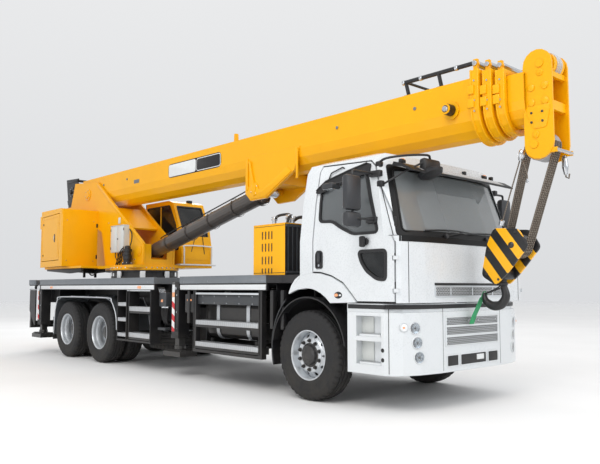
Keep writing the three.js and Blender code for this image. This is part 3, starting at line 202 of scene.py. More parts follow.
class Tree:
    # Places nodes and joins them.
    def __init__(self, tree):
        self.tree = tree
        self.made = 0

    def add(self, kind, values=(), **settings):
        node = self.tree.nodes.new("ShaderNode" + kind)
        node.location = (180 * (self.made % 12), -220 * (self.made // 12))
        self.made += 1
        for key, value in settings.items():
            setattr(node, key, value)
        self.fill(node, dict(values))
        return node

    def fill(self, node, values):
        for key, value in values.items():
            self.give(node.inputs[key], value)

    def give(self, socket, value):
        if isinstance(value, bpy.types.NodeSocket):
            self.tree.links.new(value, socket)
        elif isinstance(value, bpy.types.Node):
            self.tree.links.new(value.outputs[0], socket)
        else:
            socket.default_value = value

    def group(self, kind, values):
        return self.add("Group", values, node_tree=kind).outputs

    def math(self, operation, a, b=0.0, c=0.0, clamp=False):
        return self.add("Math", {0: a, 1: b, 2: c}, operation=operation, use_clamp=clamp).outputs[0]

    def mix(self, factor, a, b):
        return self.add("Mix", {0: factor, 6: a, 7: b}, data_type="RGBA").outputs[2]

    def ramp(self, value, low, high, bottom=0.0, top=1.0):
        return self.add("MapRange", {0: value, 1: low, 2: high, 3: bottom, 4: top}, clamp=True).outputs[0]

    def noise(self, place, scale, detail=3.0, rough=0.5):
        return self.add("TexNoise", {"Vector": place, "Scale": scale, "Detail": detail, "Roughness": rough}).outputs[0]

    def split(self, place):
        return self.add("SeparateXYZ", {0: place}).outputs

    def bump(self, height, strength, distance):
        return self.add("Bump", {"Height": height, "Strength": strength, "Distance": distance})


def shaderGroup(name, inputs, outputs, build):
    group = bpy.data.node_groups.new(name, "ShaderNodeTree")
    for label, kind, value in inputs:
        socket = group.interface.new_socket(label, in_out="INPUT", socket_type="NodeSocket" + kind)
        if value is not None:
            socket.default_value = value
    for label, kind in outputs:
        group.interface.new_socket(label, in_out="OUTPUT", socket_type="NodeSocket" + kind)
    tree = Tree(group)
    start = group.nodes.new("NodeGroupInput")
    stop = group.nodes.new("NodeGroupOutput")
    stop.location = (2400, 0)
    tree.fill(stop, build(tree, start.outputs))
    return group


# Paint or metal that has been outdoors: uneven tone, road dust that fades with height, rain streaks.
def buildWeather(t, given):
    place = given["Place"]
    broad = t.noise(place, given["Scale"], 4.0, 0.6)
    fine = t.noise(place, 60.0, 3.0, 0.6)
    low = t.ramp(t.split(place)[2], given["Ground"], t.math("ADD", given["Ground"], given["Fade"]), 1.0, 0.0)
    tall = t.add("VectorMath", {0: place, 1: (9.0, 9.0, 0.7)}, operation="MULTIPLY").outputs[0]
    streaks = t.ramp(t.noise(tall, 2.2, 4.0, 0.65), 0.52, 0.8)
    spread = t.math("MULTIPLY", t.ramp(broad, 0.35, 0.75), low)
    mask = t.math("MULTIPLY", t.math("MULTIPLY_ADD", streaks, 0.22, spread), given["Amount"], clamp=True)
    tone = t.ramp(broad, 0.2, 0.8, 0.93, 1.05)
    varied = t.add("VectorMath", {0: given["Paint"], "Scale": tone}, operation="SCALE").outputs[0]
    dull = t.math("MULTIPLY_ADD", mask, 0.35, given["Base Roughness"])
    return {"Color": t.mix(mask, varied, given["Grime"]), "Height": fine,
            "Roughness": t.math("ADD", dull, t.ramp(fine, 0.3, 0.7, -0.03, 0.03))}


weather = shaderGroup(
    "outdoorWear",
    [("Place", "Vector", None), ("Paint", "Color", (0.8, 0.8, 0.8, 1)), ("Grime", "Color", shade("#6b6253")),
     ("Amount", "Float", 0.2), ("Ground", "Float", 0.3), ("Fade", "Float", 1.2), ("Scale", "Float", 2.0),
     ("Base Roughness", "Float", 0.4)],
    [("Color", "Color"), ("Roughness", "Float"), ("Height", "Float")], buildWeather)


# Raised bars of aluminium tread plate, crossed alternately.
def buildTread(t, given):
    split = t.split(given["Place"])
    u, v = [t.math("DIVIDE", split[k], given["Pitch"]) for k in (0, 1)]
    odd = t.math("FLOORED_MODULO", t.math("ADD", t.math("FLOOR", u), t.math("FLOOR", v)), 2.0)
    fu, fv = [t.math("SUBTRACT", t.math("FRACT", w), 0.5) for w in (u, v)]
    one, two = t.math("ADD", fu, fv), t.math("SUBTRACT", fu, fv)
    swap, back = [t.add("Mix", {0: odd, 2: a, 3: b}, data_type="FLOAT").outputs[0] for a, b in ((one, two), (two, one))]
    far = t.math("ADD", *[t.math("POWER", t.math("DIVIDE", w, size), 2.0) for w, size in ((swap, 0.78), (back, 0.2))])
    return {"Height": t.ramp(far, 0.5, 1.0, 1.0, 0.0)}


tread = shaderGroup("treadPlate", [("Place", "Vector", None), ("Pitch", "Float", 0.036)], [("Height", "Float")], buildTread)


# Slanting stripes measured along one direction.
def buildStripes(t, given):
    along = t.add("VectorMath", {0: given["Place"], 1: given["Direction"]}, operation="DOT_PRODUCT").outputs["Value"]
    wave = t.math("FRACT", t.math("ADD", t.math("DIVIDE", along, given["Pitch"]), given["Start"]))
    return {"Mask": t.ramp(t.math("ABSOLUTE", t.math("SUBTRACT", wave, 0.5)), 0.245, 0.255)}


stripes = shaderGroup(
    "slantStripes",
    [("Place", "Vector", None), ("Direction", "Vector", (1, 0, 1)), ("Pitch", "Float", 0.2), ("Start", "Float", 0.0)],
    [("Mask", "Float")], buildStripes)


# Over-and-under yarns. The mask marks the crowns of the yarns; the hollows left out of it are painted darker, as
# painted shade.
def buildWeave(t, given):
    split = t.split(given["Place"])
    first = t.math("ADD", split[0], split[2])
    second = t.math("ADD", split[1], t.math("MULTIPLY", split[2], 0.7))
    cross = t.math("MULTIPLY", *[t.math("SINE", t.math("MULTIPLY", w, given["Yarns"])) for w in (first, second)])
    return {"Height": cross, "Mask": t.ramp(cross, -0.6, 0.9)}


weave = shaderGroup("yarnWeave", [("Place", "Vector", None), ("Yarns", "Float", 900.0)],
                    [("Height", "Float"), ("Mask", "Float")], buildWeave)


# Pressed holes of a mesh grille.
def buildHoles(t, given):
    split = t.split(given["Place"])
    u = t.math("DIVIDE", t.math("ADD", split[0], split[1]), given["Pitch"])
    v = t.math("DIVIDE", split[2], t.math("MULTIPLY", given["Pitch"], 0.6))
    shifted = t.math("MULTIPLY_ADD", t.math("FLOORED_MODULO", t.math("FLOOR", v), 2.0), 0.5, u)
    fu, fv = [t.math("ABSOLUTE", t.math("SUBTRACT", t.math("FRACT", w), 0.5)) for w in (shifted, v)]
    return {"Mask": t.ramp(t.math("ADD", fu, t.math("MULTIPLY", fv, 0.9)), 0.4, 0.46, 1.0, 0.0)}


holes = shaderGroup("pressedHoles", [("Place", "Vector", None), ("Pitch", "Float", 0.03)], [("Mask", "Float")], buildHoles)
print("shader groups built")


def startMaterial(name):
    material = bpy.data.materials.new(name)
    material.use_nodes = True
    paint[name] = material
    t = Tree(material.node_tree)
    return material, t, material.node_tree.nodes["Principled BSDF"], t.add("TexCoord").outputs["Object"]


def outdoorMaterial(name, colour, rough, metal=0.0, coat=0.0, amount=0.25, ground=0.3, fade=1.3, scale=2.0,
                    grime="#6b6253", bump=0.04, grain=0.0, round=0.0, shine=0.5):
    material, t, shader, place = startMaterial(name)
    worn = t.group(weather, {"Place": place, "Paint": shade(colour), "Grime": shade(grime), "Amount": amount,
                             "Ground": ground, "Fade": fade, "Scale": scale, "Base Roughness": rough})
    height = worn["Height"]
    if grain:
        height = t.math("MULTIPLY_ADD", t.noise(place, grain, 2.0), 1.0, t.math("MULTIPLY", height, 0.3))
    relief = t.bump(height, bump, 0.01)
    if round:
        t.give(relief.inputs["Normal"], t.add("Bevel", {"Radius": round}, samples=4))
    t.fill(shader, {"Base Color": worn["Color"], "Roughness": worn["Roughness"], "Normal": relief, "Metallic": metal,
                    "Coat Weight": coat, "Coat Roughness": 0.08, "Specular IOR Level": shine})


paintValues = {
    "craneYellow": dict(colour="#f1ad00", rough=0.36, coat=0.15, shine=0.25, amount=0.12, ground=1.2, fade=1.6, scale=1.2,
                        grime="#b88212", round=0.006),
    "cabWhite": dict(colour="#d4d8db", rough=0.28, coat=0.35, amount=0.2, fade=1.0, scale=1.6, grime="#b9b7b0", round=0.008),
    "stripeWhite": dict(colour="#d9dcde", rough=0.4, amount=0.2, fade=1.4, scale=4.0, grime="#a9a7a0"),
    "frameBlack": dict(colour="#17171a", rough=0.42, coat=0.1, amount=0.5, ground=0.2, fade=1.2, scale=3.0,
                       grime="#4b463e", round=0.004),
    "trimBlack": dict(colour="#141417", rough=0.45, amount=0.3, ground=0.2, fade=1.2, scale=5.0, grime="#46433e",
                      grain=500.0, bump=0.12),
    "mirrorGrey": dict(colour="#2c2e32", rough=0.4, amount=0.2, ground=0.4, fade=1.2, scale=6.0, grime="#55534e",
                       grain=420.0, bump=0.1, round=0.008),
    "cabinGrey": dict(colour="#3b3e42", rough=0.7, amount=0.3, ground=1.2, fade=1.0, scale=6.0, grime="#57544d",
                      grain=350.0, bump=0.15),
    "galvanised": dict(colour="#868b90", rough=0.42, metal=0.85, amount=0.5, fade=1.0, scale=7.0, grime="#5d5a52"),
    "rimSilver": dict(colour="#d2d6da", rough=0.34, metal=0.6, amount=0.22, ground=0.1, fade=0.9, scale=7.0, grime="#6b655a"),
    "brightSteel": dict(colour="#c9ccd0", rough=0.22, metal=1.0, amount=0.2, scale=9.0, grime="#6e6a62"),
    "darkSteel": dict(colour="#3c3b3b", rough=0.32, metal=0.55, coat=0.2, amount=0.3, fade=1.4, scale=4.0,
                      grime="#5b564e", round=0.005),
    "cylinderGrey": dict(colour="#4a4542", rough=0.34, metal=0.3, coat=0.35, ground=1.6, fade=1.4, scale=3.0,
                         grime="#6b6358"),
    "rubberBlack": dict(colour="#1b1b1d", rough=0.72, amount=0.55, ground=0.0, fade=1.0, scale=6.0, grime="#4a453d",
                        grain=240.0, bump=0.18),
    "hoseBlack": dict(colour="#101012", rough=0.5, amount=0.3, ground=0.2, fade=1.4, scale=9.0, grime="#403d38",
                      grain=700.0, bump=0.1),
    "panelGrey": dict(colour="#cfd2d0", rough=0.38, coat=0.15, ground=1.5, fade=1.0, scale=5.0, grime="#8f8d85", round=0.005),
    "panelDark": dict(colour="#44474b", rough=0.45, metal=0.3, amount=0.35, fade=1.2, scale=5.0, grime="#625e56"),
    "sheaveGrey": dict(colour="#b9bcc2", rough=0.42, amount=0.4, ground=2.0, fade=2.5, scale=12.0, grime="#5c584f"),
    "labelPale": dict(colour="#dcdfe0", rough=0.35, amount=0.15, ground=1.0, fade=2.0, scale=8.0, grime="#a7a59e"),
    "gasket": dict(colour="#070708", rough=0.42, shine=0.25, amount=0.05, ground=0.8, fade=1.4, scale=5.0, grime="#3c3a36"),
    "visorGrey": dict(colour="#a3a4a4", rough=0.25, coat=0.4, amount=0.2, ground=2.0, fade=1.2, scale=6.0, grime="#6e6a64"),
    "mirrorGlass": dict(colour="#c3c8cc", rough=0.06, metal=1.0, amount=0.1, ground=1.0, fade=2.0, scale=8.0, grime="#85827c"),
    "reflector": dict(colour="#d6dade", rough=0.14, metal=1.0, amount=0.1, ground=0.2, fade=1.0, scale=12.0, grime="#7f7c76"),
}
for name, values in paintValues.items():
    outdoorMaterial(name, **values)


def treadMaterial(name, colour, pitch, dirt):
    material, t, shader, place = startMaterial(name)
    bars = t.group(tread, {"Place": place, "Pitch": pitch})["Height"]
    wear = t.group(weather, {"Place": place, "Paint": shade(colour), "Grime": shade("#565451"), "Amount": dirt,
                             "Ground": 1.3, "Fade": 0.8, "Scale": 3.0, "Base Roughness": 0.36})
    # The raised bars are painted much lighter than the plate between them: a painted highlight on the bars.
    bright = t.mix(t.math("MULTIPLY", bars, 0.75), wear["Color"], shade("#e8eaec"))
    t.fill(shader, {"Base Color": bright, "Roughness": wear["Roughness"], "Normal": t.bump(bars, 0.7, 0.003), "Metallic": 0.7})


treadMaterial("treadPlate", "#85898d", 0.04, 0.35)
treadMaterial("treadStep", "#b3b6b9", 0.022, 0.2)


def glassMaterial(name, colour, rough, transmission):
    material, t, shader, place = startMaterial(name)
    dust = t.ramp(t.noise(place, 5.0, 4.0), 0.45, 0.8)
    t.fill(shader, {"Base Color": t.mix(t.math("MULTIPLY", dust, 0.12), shade(colour), shade("#8d8f8f")),
                    "Roughness": t.math("MULTIPLY_ADD", dust, 0.06, rough), "Transmission Weight": transmission, "IOR": 1.45})


glassMaterial("screenGlass", "#a9aeb0", 0.03, 0.62)
glassMaterial("sideGlass", "#83888b", 0.03, 0.55)
glassMaterial("darkGlass", "#1d2022", 0.04, 0.35)
glassMaterial("lampLens", "#e9edf0", 0.03, 0.9)


def lensMaterial(name, colour):
    material, t, shader, place = startMaterial(name)
    ribs = t.math("SINE", t.math("MULTIPLY", t.split(place)[2], 900.0))
    # The crests of the ribs are painted paler, toward white: a painted glint on the lens.
    t.fill(shader, {"Base Color": t.mix(t.ramp(ribs, -1, 1, 0.0, 0.35), shade(colour), shade("#ffffff")),
                    "Normal": t.bump(ribs, 0.3, 0.001), "Roughness": 0.12, "Coat Weight": 0.6})


lensMaterial("amberLens", "#f08a00")
lensMaterial("redLens", "#c4141c")
lensMaterial("clearLens", "#dfe3e6")


def stripedMaterial(name, first, second, direction, pitch, start=0.0):
    material, t, shader, place = startMaterial(name)
    mask = t.group(stripes, {"Place": place, "Direction": direction, "Pitch": pitch, "Start": start})["Mask"]
    chips = t.ramp(t.noise(place, 26.0, 5.0, 0.7), 0.66, 0.7)
    base = t.mix(mask, shade(first), shade(second))
    t.fill(shader, {"Base Color": t.mix(t.math("MULTIPLY", chips, 0.6), base, shade("#57534c")),
                    "Roughness": t.ramp(t.noise(place, 12.0), 0.2, 0.8, 0.32, 0.5),
                    "Normal": t.bump(t.noise(place, 90.0), 0.05, 0.004)})


def holesMaterial(name, colour, pitch):
    material, t, shader, place = startMaterial(name)
    mask = t.group(holes, {"Place": place, "Pitch": pitch})["Mask"]
    # The holes are painted near black: painted shade of the dark space behind the mesh.
    t.fill(shader, {"Base Color": t.mix(mask, shade(colour), shade("#0d0d0e")),
                    "Roughness": t.ramp(t.noise(place, 20.0), 0.2, 0.8, 0.35, 0.5),
                    "Normal": t.bump(t.math("SUBTRACT", 1.0, mask), 0.6, 0.004)})


def wovenMaterial(name, colour, dark, yarns):
    material, t, shader, place = startMaterial(name)
    cloth = t.group(weave, {"Place": place, "Yarns": yarns})
    soil = t.ramp(t.noise(place, 9.0, 4.0), 0.5, 0.85, 0.0, 0.3)
    # The hollows of the weave take the dark colour: painted shade between the yarns.
    base = t.mix(t.math("MULTIPLY", cloth["Mask"], 0.6), shade(dark), shade(colour))
    t.fill(shader, {"Base Color": t.mix(soil, base, shade("#5b584f")),
                    "Roughness": t.ramp(t.noise(place, 30.0), 0.2, 0.8, 0.8, 0.93),
                    "Normal": t.bump(cloth["Height"], 0.5, 0.002), "Sheen Weight": 0.2})


# Laid steel rope: strands wind round the line it runs on.
def ropeMaterial(name):
    material, t, shader, place = startMaterial(name)
    split = t.split(place)
    slant = t.math("MULTIPLY", t.math("SUBTRACT", split[2], split[0]), 420.0)
    strand = t.math("SINE", t.math("ADD", t.math("MULTIPLY", split[1], 520.0), slant))
    # The crowns of the strands are painted lighter and the grooves between them darker: painted highlight and painted
    # shade.
    t.fill(shader, {"Base Color": t.mix(t.ramp(strand, -0.8, 0.8), shade("#544b42"), shade("#8f867c")),
                    "Roughness": t.ramp(t.noise(place, 60.0), 0.2, 0.8, 0.35, 0.6),
                    "Normal": t.bump(strand, 0.5, 0.002), "Metallic": 0.75})


stripedMaterial("hookHazard", "#f2b000", "#111113", (0.80, 0.0, 0.60), 0.19, 0.30)
stripedMaterial("roadTape", "#e9e9e9", "#c8202a", (0.5, 0.5, 0.86), 0.16)
holesMaterial("grilleMesh", "#a6a9ab", 0.03)
wovenMaterial("greenWebbing", "#22b873", "#159055", 1400.0)
wovenMaterial("seatCloth", "#3d4047", "#212329", 1100.0)
ropeMaterial("steelRope")
print("materials built")


cameraValues = {"place": (9.078, -6.612, 1.309), "yaw": 137.5, "pitch": 4.78, "lens": 40.09, "sensor": 36, "farthest": 300}


def placeCamera():
    v = cameraValues
    camera = bpy.data.objects.new("camera", bpy.data.cameras.new("camera"))
    scene.collection.objects.link(camera)
    camera.location = v["place"]
    yaw, pitch = math.radians(v["yaw"]), math.radians(v["pitch"])
    heading = Vector((math.cos(yaw) * math.cos(pitch), math.sin(yaw) * math.cos(pitch), math.sin(pitch)))
    camera.rotation_euler = heading.to_track_quat("-Z", "Y").to_euler()
    camera.data.lens = v["lens"]
    camera.data.sensor_width = v["sensor"]
    camera.data.clip_end = v["farthest"]
    camera.data.dof.use_dof = False
    scene.camera = camera


def placeLight(name, place, target, size, power, colour):
    light = bpy.data.lights.new(name, "AREA")
    light.shape = "RECTANGLE"
    light.size, light.size_y = size
    light.energy = power
    light.color = colour
    lamp = bpy.data.objects.new(name, light)
    scene.collection.objects.link(lamp)
    lamp.location = place
    lamp.rotation_euler = (Vector(target) - Vector(place)).to_track_quat("-Z", "Y").to_euler()


floorValues = {"radius": 80.0, "solidTo": 15.0, "goneAt": 62.0, "dark": "#ececec", "pale": "#f1f1f1"}


# A flat disc that fades into the sky.
def placeFloor():
    v = floorValues
    mesh = bpy.data.meshes.new("studioFloor")
    part = bmesh.new()
    bmesh.ops.create_circle(part, cap_ends=True, radius=v["radius"], segments=96)
    part.to_mesh(mesh)
    part.free()
    material, t, shader, place = startMaterial("studioFloor")
    tone = t.ramp(t.noise(place, 0.5), 0.3, 0.7)
    away = t.add("VectorMath", {0: place}, operation="LENGTH").outputs["Value"]
    t.fill(shader, {"Base Color": t.mix(tone, shade(v["dark"]), shade(v["pale"])),
                    "Roughness": t.ramp(t.noise(place, 3.0), 0.2, 0.8, 0.7, 0.8),
                    "Alpha": t.ramp(away, v["solidTo"], v["goneAt"], 1.0, 0.0)})
    mesh.materials.append(material)
    floor = bpy.data.objects.new("studioFloor", mesh)
    scene.collection.objects.link(floor)


skyValues = {"strength": 0.95, "low": "#d9dbde", "high": "#ffffff"}


def placeSky():
    world = bpy.data.worlds.new("studioSky")
    scene.world = world
    world.use_nodes = True
    t = Tree(world.node_tree)
    lift = t.ramp(t.split(t.add("TexCoord").outputs["Generated"])[2], -0.2, 0.9)
    t.fill(world.node_tree.nodes["Background"], {
        "Strength": skyValues["strength"], "Color": t.mix(lift, shade(skyValues["low"]), shade(skyValues["high"]))})
    scene.view_settings.view_transform = "Standard"


placeCamera()
placeFloor()
placeLight("keyLight", (7, -11, 11), (-1.5, 0, 1.5), (9, 7), 950, (1.0, 0.98, 0.95))
placeLight("frontLight", (15, 1, 7), (2, 0, 2), (7, 6), 420, (0.96, 0.98, 1.0))
placeLight("backLight", (-12, 9, 9), (-2, 0, 2), (8, 6), 520, (0.98, 0.99, 1.0))
placeLight("lowLight", (1, -12, 1.6), (-1, -1, 1), (12, 2.5), 100, (1.0, 1.0, 1.0))
placeSky()
print("camera, light and floor placed")


def dress(node, *finishes, rule=None):
    mesh = frame["nodes"][node].data
    mesh.materials.clear()
    for finish in finishes:
        mesh.materials.append(paint[finish])
    if rule:
        for polygon in mesh.polygons:
            polygon.material_index = rule(polygon.center - Vector((axleX, 0, 0)), polygon.normal)


dressValues = {
    "craneYellow": "boom_base boom_section_2 boom_section_3 boom_head operator_cab operator_cab_door turret_frame "
                   "tail_cabinet tail_cabinet_door counterweight",
    "cabWhite": "bumper door_left door_right",
    "screenGlass": "windshield",
    "frameBlack": "chassis_frame crane_subframe front_axle middle_axle rear_axle bogie_suspension rear_bumper winch",
    "darkSteel": "knuckle_left knuckle_right engine_block fuel_tank battery_box",
    "cylinderGrey": "lift_cylinder",
    "brightSteel": "lift_cylinder_rod",
    "trimBlack": "dashboard front_mudguard_left front_mudguard_right",
    "galvanised": "rear_mudguard_left rear_mudguard_right",
    "rubberBlack": "spare_wheel front_wheel_left front_wheel_right middle_wheels_left middle_wheels_right "
                   "rear_wheels_left rear_wheels_right",
    "panelGrey": "electrical_box",
    "greenWebbing": "tie_down_strap",
    "seatCloth": "cab_seats operator_seat",
    "steelRope": "hoist_ropes",
    "hookHazard": "hook_block",
}
for finish, nodes in dressValues.items():
    for node in nodes.split():
        dress(node, finish)
for sideName in sides:
    for end in ("front", "rear"):
        dress(end + "_outrigger_beam_" + sideName, "frameBlack")
        dress(end + "_outrigger_jack_" + sideName, "darkSteel")


# Tread plate on top, black below and along the narrow front, bright edges.
def deckRule(c, n):
    if c.z < 1.375 or (abs(n.z) < 0.5 and c.x > -0.72):
        return 1
    return 0 if n.z > 0.5 else 2


archValues = {"centre": (0.02, 0.585), "reach": 0.68, "visor": (1.17, 2.5, 2.72)}


# Black inside the wheel arch, grey on the sun visor's edge, white elsewhere.
def archRule(c, n):
    inward = Vector((archValues["centre"][0] - c.x, 0, archValues["centre"][1] - c.z))
    x, low, high = archValues["visor"]
    if c.x > x and low < c.z < high:
        return 2
    return 1 if inward.length < archValues["reach"] and n.dot(inward.normalized()) > 0.6 else 0


for node in ("front_deck", "rear_deck"):
    dress(node, "treadPlate", "frameBlack", "galvanised", rule=deckRule)
dress("cab_shell", "cabWhite", "trimBlack", "visorGrey", rule=archRule)
dress("oil_tank", "craneYellow", "frameBlack", "brightSteel",
      rule=lambda c, n: 2 if c.z > 2.132 else (1 if n.x > 0.7 else 0))
print("frame parts dressed")


wheelValues = {"radius": 0.525, "rim": 0.286, "halfWidth": 0.148, "columns": 168, "lugEvery": 4, "lugDepth": 0.013, "nuts": 10,
               "frontY": 1.075, "twinY": 0.8875, "twinHalf": 0.1675, "middleX": -5.4, "rearX": -6.75, "nutCircle": 0.1675}


# The profile is (depth below the tread, half width); lugs are cut into the shoulder.
def tyre(shape, centre, outward):
    v = wheelValues
    grooves = [(0.0004, 0.0), (0.0006, 0.024), (0.013, 0.027), (0.013, 0.036), (0.001, 0.039), (0.0015, 0.068), (0.014, 0.071),
               (0.014, 0.080)]
    shoulder = [(0.003, 0.083), (0.007, 0.108), (0.016, 0.124), (0.03, 0.134)]
    wall = [(0.05, 0.140), (0.075, 0.145), (0.082, 0.1475), (0.092, v["halfWidth"]), (0.1, 0.1465), (0.14, 0.1478), (0.18, 0.145),
            (0.192, 0.1455), (0.2, 0.1425), (0.222, 0.136), (0.236, 0.128), (v["radius"] - v["rim"] + 0.004, 0.11)]
    half = grooves + shoulder + wall
    rows = []
    for depth, along in half[::-1] + [(a, -b) for a, b in half[1:]]:
        middle = Vector(centre) + Vector((0, outward * along, 0))
        row = ringOf(middle, v["radius"] - depth, v["columns"])
        if (depth, abs(along)) in shoulder:
            for i in range(2 if along < 0 else 0, v["columns"], v["lugEvery"]):
                row[i] -= (row[i] - middle).normalized() * v["lugDepth"]
        rows.append(row)
    return shape.skin(rows, closed=True)


# A conical ring with round holes through it.
def holedRing(shape, centre, outward, inner, outer, count, holeRadius, depth):
    (r0, a0), (r1, a1) = inner, outer
    middle, halfWide, halfTall = (r0 + r1) / 2, math.pi / count, (r1 - r0) / 2
    steps = 5
    corners = [(-1, -1), (1, -1), (1, 1), (-1, 1)]

    def spot(angle, radius, sink=0.0):
        along = a0 + (a1 - a0) * (radius - r0) / (r1 - r0) - sink
        return Vector(centre) + Vector((radius * math.cos(angle), outward * along, radius * math.sin(angle)))

    ring = Shape()
    for k in range(count):
        base = 2 * math.pi * k / count
        rows = [[], [], []]
        for (u0, v0), (u1, v1) in zip(corners, corners[1:] + corners[:1]):
            for i in range(steps):
                u, v = u0 + (u1 - u0) * i / steps, v0 + (v1 - v0) * i / steps
                turn = math.atan2(v * halfTall, u * halfWide * middle)
                holeAngle, holeR = base + holeRadius * math.cos(turn) / middle, middle + holeRadius * math.sin(turn)
                rows[0].append(spot(base + u * halfWide, middle + v * halfTall))
                rows[1].append(spot(holeAngle, holeR))
                rows[2].append(spot(holeAngle, holeR, depth))
        ring.skin(rows)
    bmesh.ops.remove_doubles(ring.mesh, verts=ring.mesh.verts, dist=1e-5)
    shape.take(ring.mesh)


def rimBarrel(shape, centre, axis, lip, sign=1):
    r = wheelValues["rim"]
    outline = [(r + 0.001, lip - 0.012), (r + 0.006, lip - 0.004), (r + 0.005, lip + 0.002), (r - 0.004, lip + 0.003),
               (r - 0.012, lip - 0.008), (r - 0.016, lip - 0.03), (r - 0.018, lip - 0.12), (r - 0.03, lip - 0.15),
               (r - 0.03, lip - 0.235), (r - 0.018, lip - 0.262), (r - 0.004, lip - 0.268), (r + 0.004, lip - 0.262),
               (r - 0.002, lip - 0.25), (r - 0.012, lip - 0.2), (r - 0.004, lip - 0.1)]
    shape.lathe([(a, b * sign) for a, b in outline], centre, axis, 64, closed=True)


def nutRing(shape, centre, outward, along):
    v = wheelValues
    axis = (0, outward, 0)
    for at in ringOf(Vector(centre) + along * Vector(axis), v["nutCircle"], v["nuts"], start=math.pi / v["nuts"]):
        shape.lathe([(0.024, 0), (0.024, 0.006)], at, axis, 12, 1)
        shape.lathe([(0.0175, 0), (0.0175, 0.026), (0.014, 0.03)], at, axis, 6, 1)
        shape.lathe([(0.009, 0.028), (0.009, 0.038)], at, axis, 8, 1)


def frontRim(shape, centre, outward):
    axis = (0, outward, 0)
    rimBarrel(shape, centre, axis, 0.132)
    shape.lathe([(0.268, 0.005), (0.262, 0.03), (0.252, 0.04), (0.252, 0.034), (0.258, 0.024), (0.262, 0.005)],
                centre, axis, 64, closed=True)
    holedRing(shape, centre, outward, (0.196, 0.092), (0.254, 0.037), 10, 0.023, 0.0145)
    shape.lathe([(0.197, 0.090), (0.192, 0.098), (0.15, 0.101), (0.142, 0.101), (0.14, 0.094), (0.142, 0.086), (0.19, 0.086)],
                centre, axis, 64, closed=True)
    nutRing(shape, centre, outward, 0.101)
    shape.lathe([(0.256, 0.0), (0.256, 0.012)], centre, axis, 48, 1)
    shape.lathe([(0.141, 0.08), (0.141, 0.094), (0.12, 0.1), (0.115, 0.118), (0.108, 0.132), (0.095, 0.14),
                 (0.06, 0.1435), (0.05, 0.1435), (0.048, 0.141)], centre, axis, 40, 1)
    for at in ringOf(Vector(centre) + 0.139 * Vector(axis), 0.08, 6):
        shape.lathe([(0.008, 0), (0.007, 0.007)], at, axis, 6, 1)


def twinRims(shape, centre, outward):
    axis = (0, outward, 0)
    half = wheelValues["twinHalf"]
    for sign in (1, -1):
        rimBarrel(shape, Vector(centre) + half * sign * Vector(axis), axis, 0.132 * sign, sign)
    face = half - 0.132
    shape.lathe([(0.27, face - 0.012), (0.268, face + 0.004), (0.252, face - 0.004), (0.252, face - 0.012)],
                centre, axis, 64, closed=True)
    holedRing(shape, centre, outward, (0.196, face + 0.022), (0.254, face - 0.006), 10, 0.02, 0.012)
    shape.lathe([(0.197, face + 0.020), (0.19, face + 0.026), (0.145, face + 0.026), (0.14, face + 0.02), (0.14, face + 0.008),
                 (0.197, face + 0.008)], centre, axis, 64, closed=True)
    nutRing(shape, centre, outward, face + 0.026)
    shape.lathe([(0.141, 0.0), (0.141, face + 0.03), (0.128, face + 0.05), (0.124, face + 0.115), (0.118, face + 0.125),
                 (0.1, face + 0.13), (0.098, 0.186), (0.09, 0.19)], centre, axis, 40, 1)
    for at in ringOf(Vector(centre) + (face + 0.124) * Vector(axis), 0.11, 10):
        shape.lathe([(0.009, 0), (0.008, 0.008)], at, axis, 6, 1)


def wheelPieces(sideName, s):
    v = wheelValues
    body = "front_wheel_" + sideName
    spot = (0, s * v["frontY"], v["radius"])
    piece("frontTyre_" + sideName, tyre(Shape(), spot, s), body, "rubber", "rubberBlack", angle=40)
    rim = Shape()
    frontRim(rim, spot, s)
    rim.tube([(0.25, spot[1] + s * 0.12, 0.525), (0.235, spot[1] + s * 0.135, 0.535)], 0.005, 8, 1)
    piece("frontRim_" + sideName, rim, body, "wheel", "rimSilver", "darkSteel", angle=30, replaces=(body,))
    for axle, x in (("middle", v["middleX"]), ("rear", v["rearX"])):
        body = axle + "_wheels_" + sideName
        rubber, rim = Shape(), Shape()
        for sign in (1, -1):
            tyre(rubber, (x, s * (v["twinY"] + sign * v["twinHalf"]), v["radius"]), s)
        piece(axle + "Tyres_" + sideName, rubber, body, "rubber", "rubberBlack", angle=40)
        twinRims(rim, (x, s * v["twinY"], v["radius"]), s)
        piece(axle + "Rims_" + sideName, rim, body, "wheel", "rimSilver", "darkSteel", angle=30, replaces=(body,))


for sideName, s in sides.items():
    wheelPieces(sideName, s)
print("wheels made")


hookValues = {
    "sheave": (2.04, 1.765), "low": (2.36, 2.8), "ropeRadius": 0.0095, "ropes": 5, "spread": 0.036, "cheek": (0.115, 0.149),
    "outline": [(1.83, 1.958), (2.12, 1.94), (2.233, 1.75), (1.98, 1.46), (1.84, 1.337), (1.67, 1.44), (1.74, 1.77)],
    "boltsAt": [(1.86, 1.92), (2.09, 1.9), (1.78, 1.72), (1.74, 1.46), (1.88, 1.4)],
    "forging": [(1.835, 0, 1.5), (1.835, 0, 1.39), (1.862, 0, 1.30), (1.876, 0, 1.21), (1.82, 0, 1.128), (1.72, 0, 1.11),
                (1.632, 0, 1.16), (1.608, 0, 1.25)],
    "strap": [(1.508, -0.115, 0.908), (1.522, -0.088, 0.99), (1.55, -0.048, 1.09), (1.574, -0.01, 1.185), (1.584, 0, 1.205)],
    "strapHalf": 0.042,
}


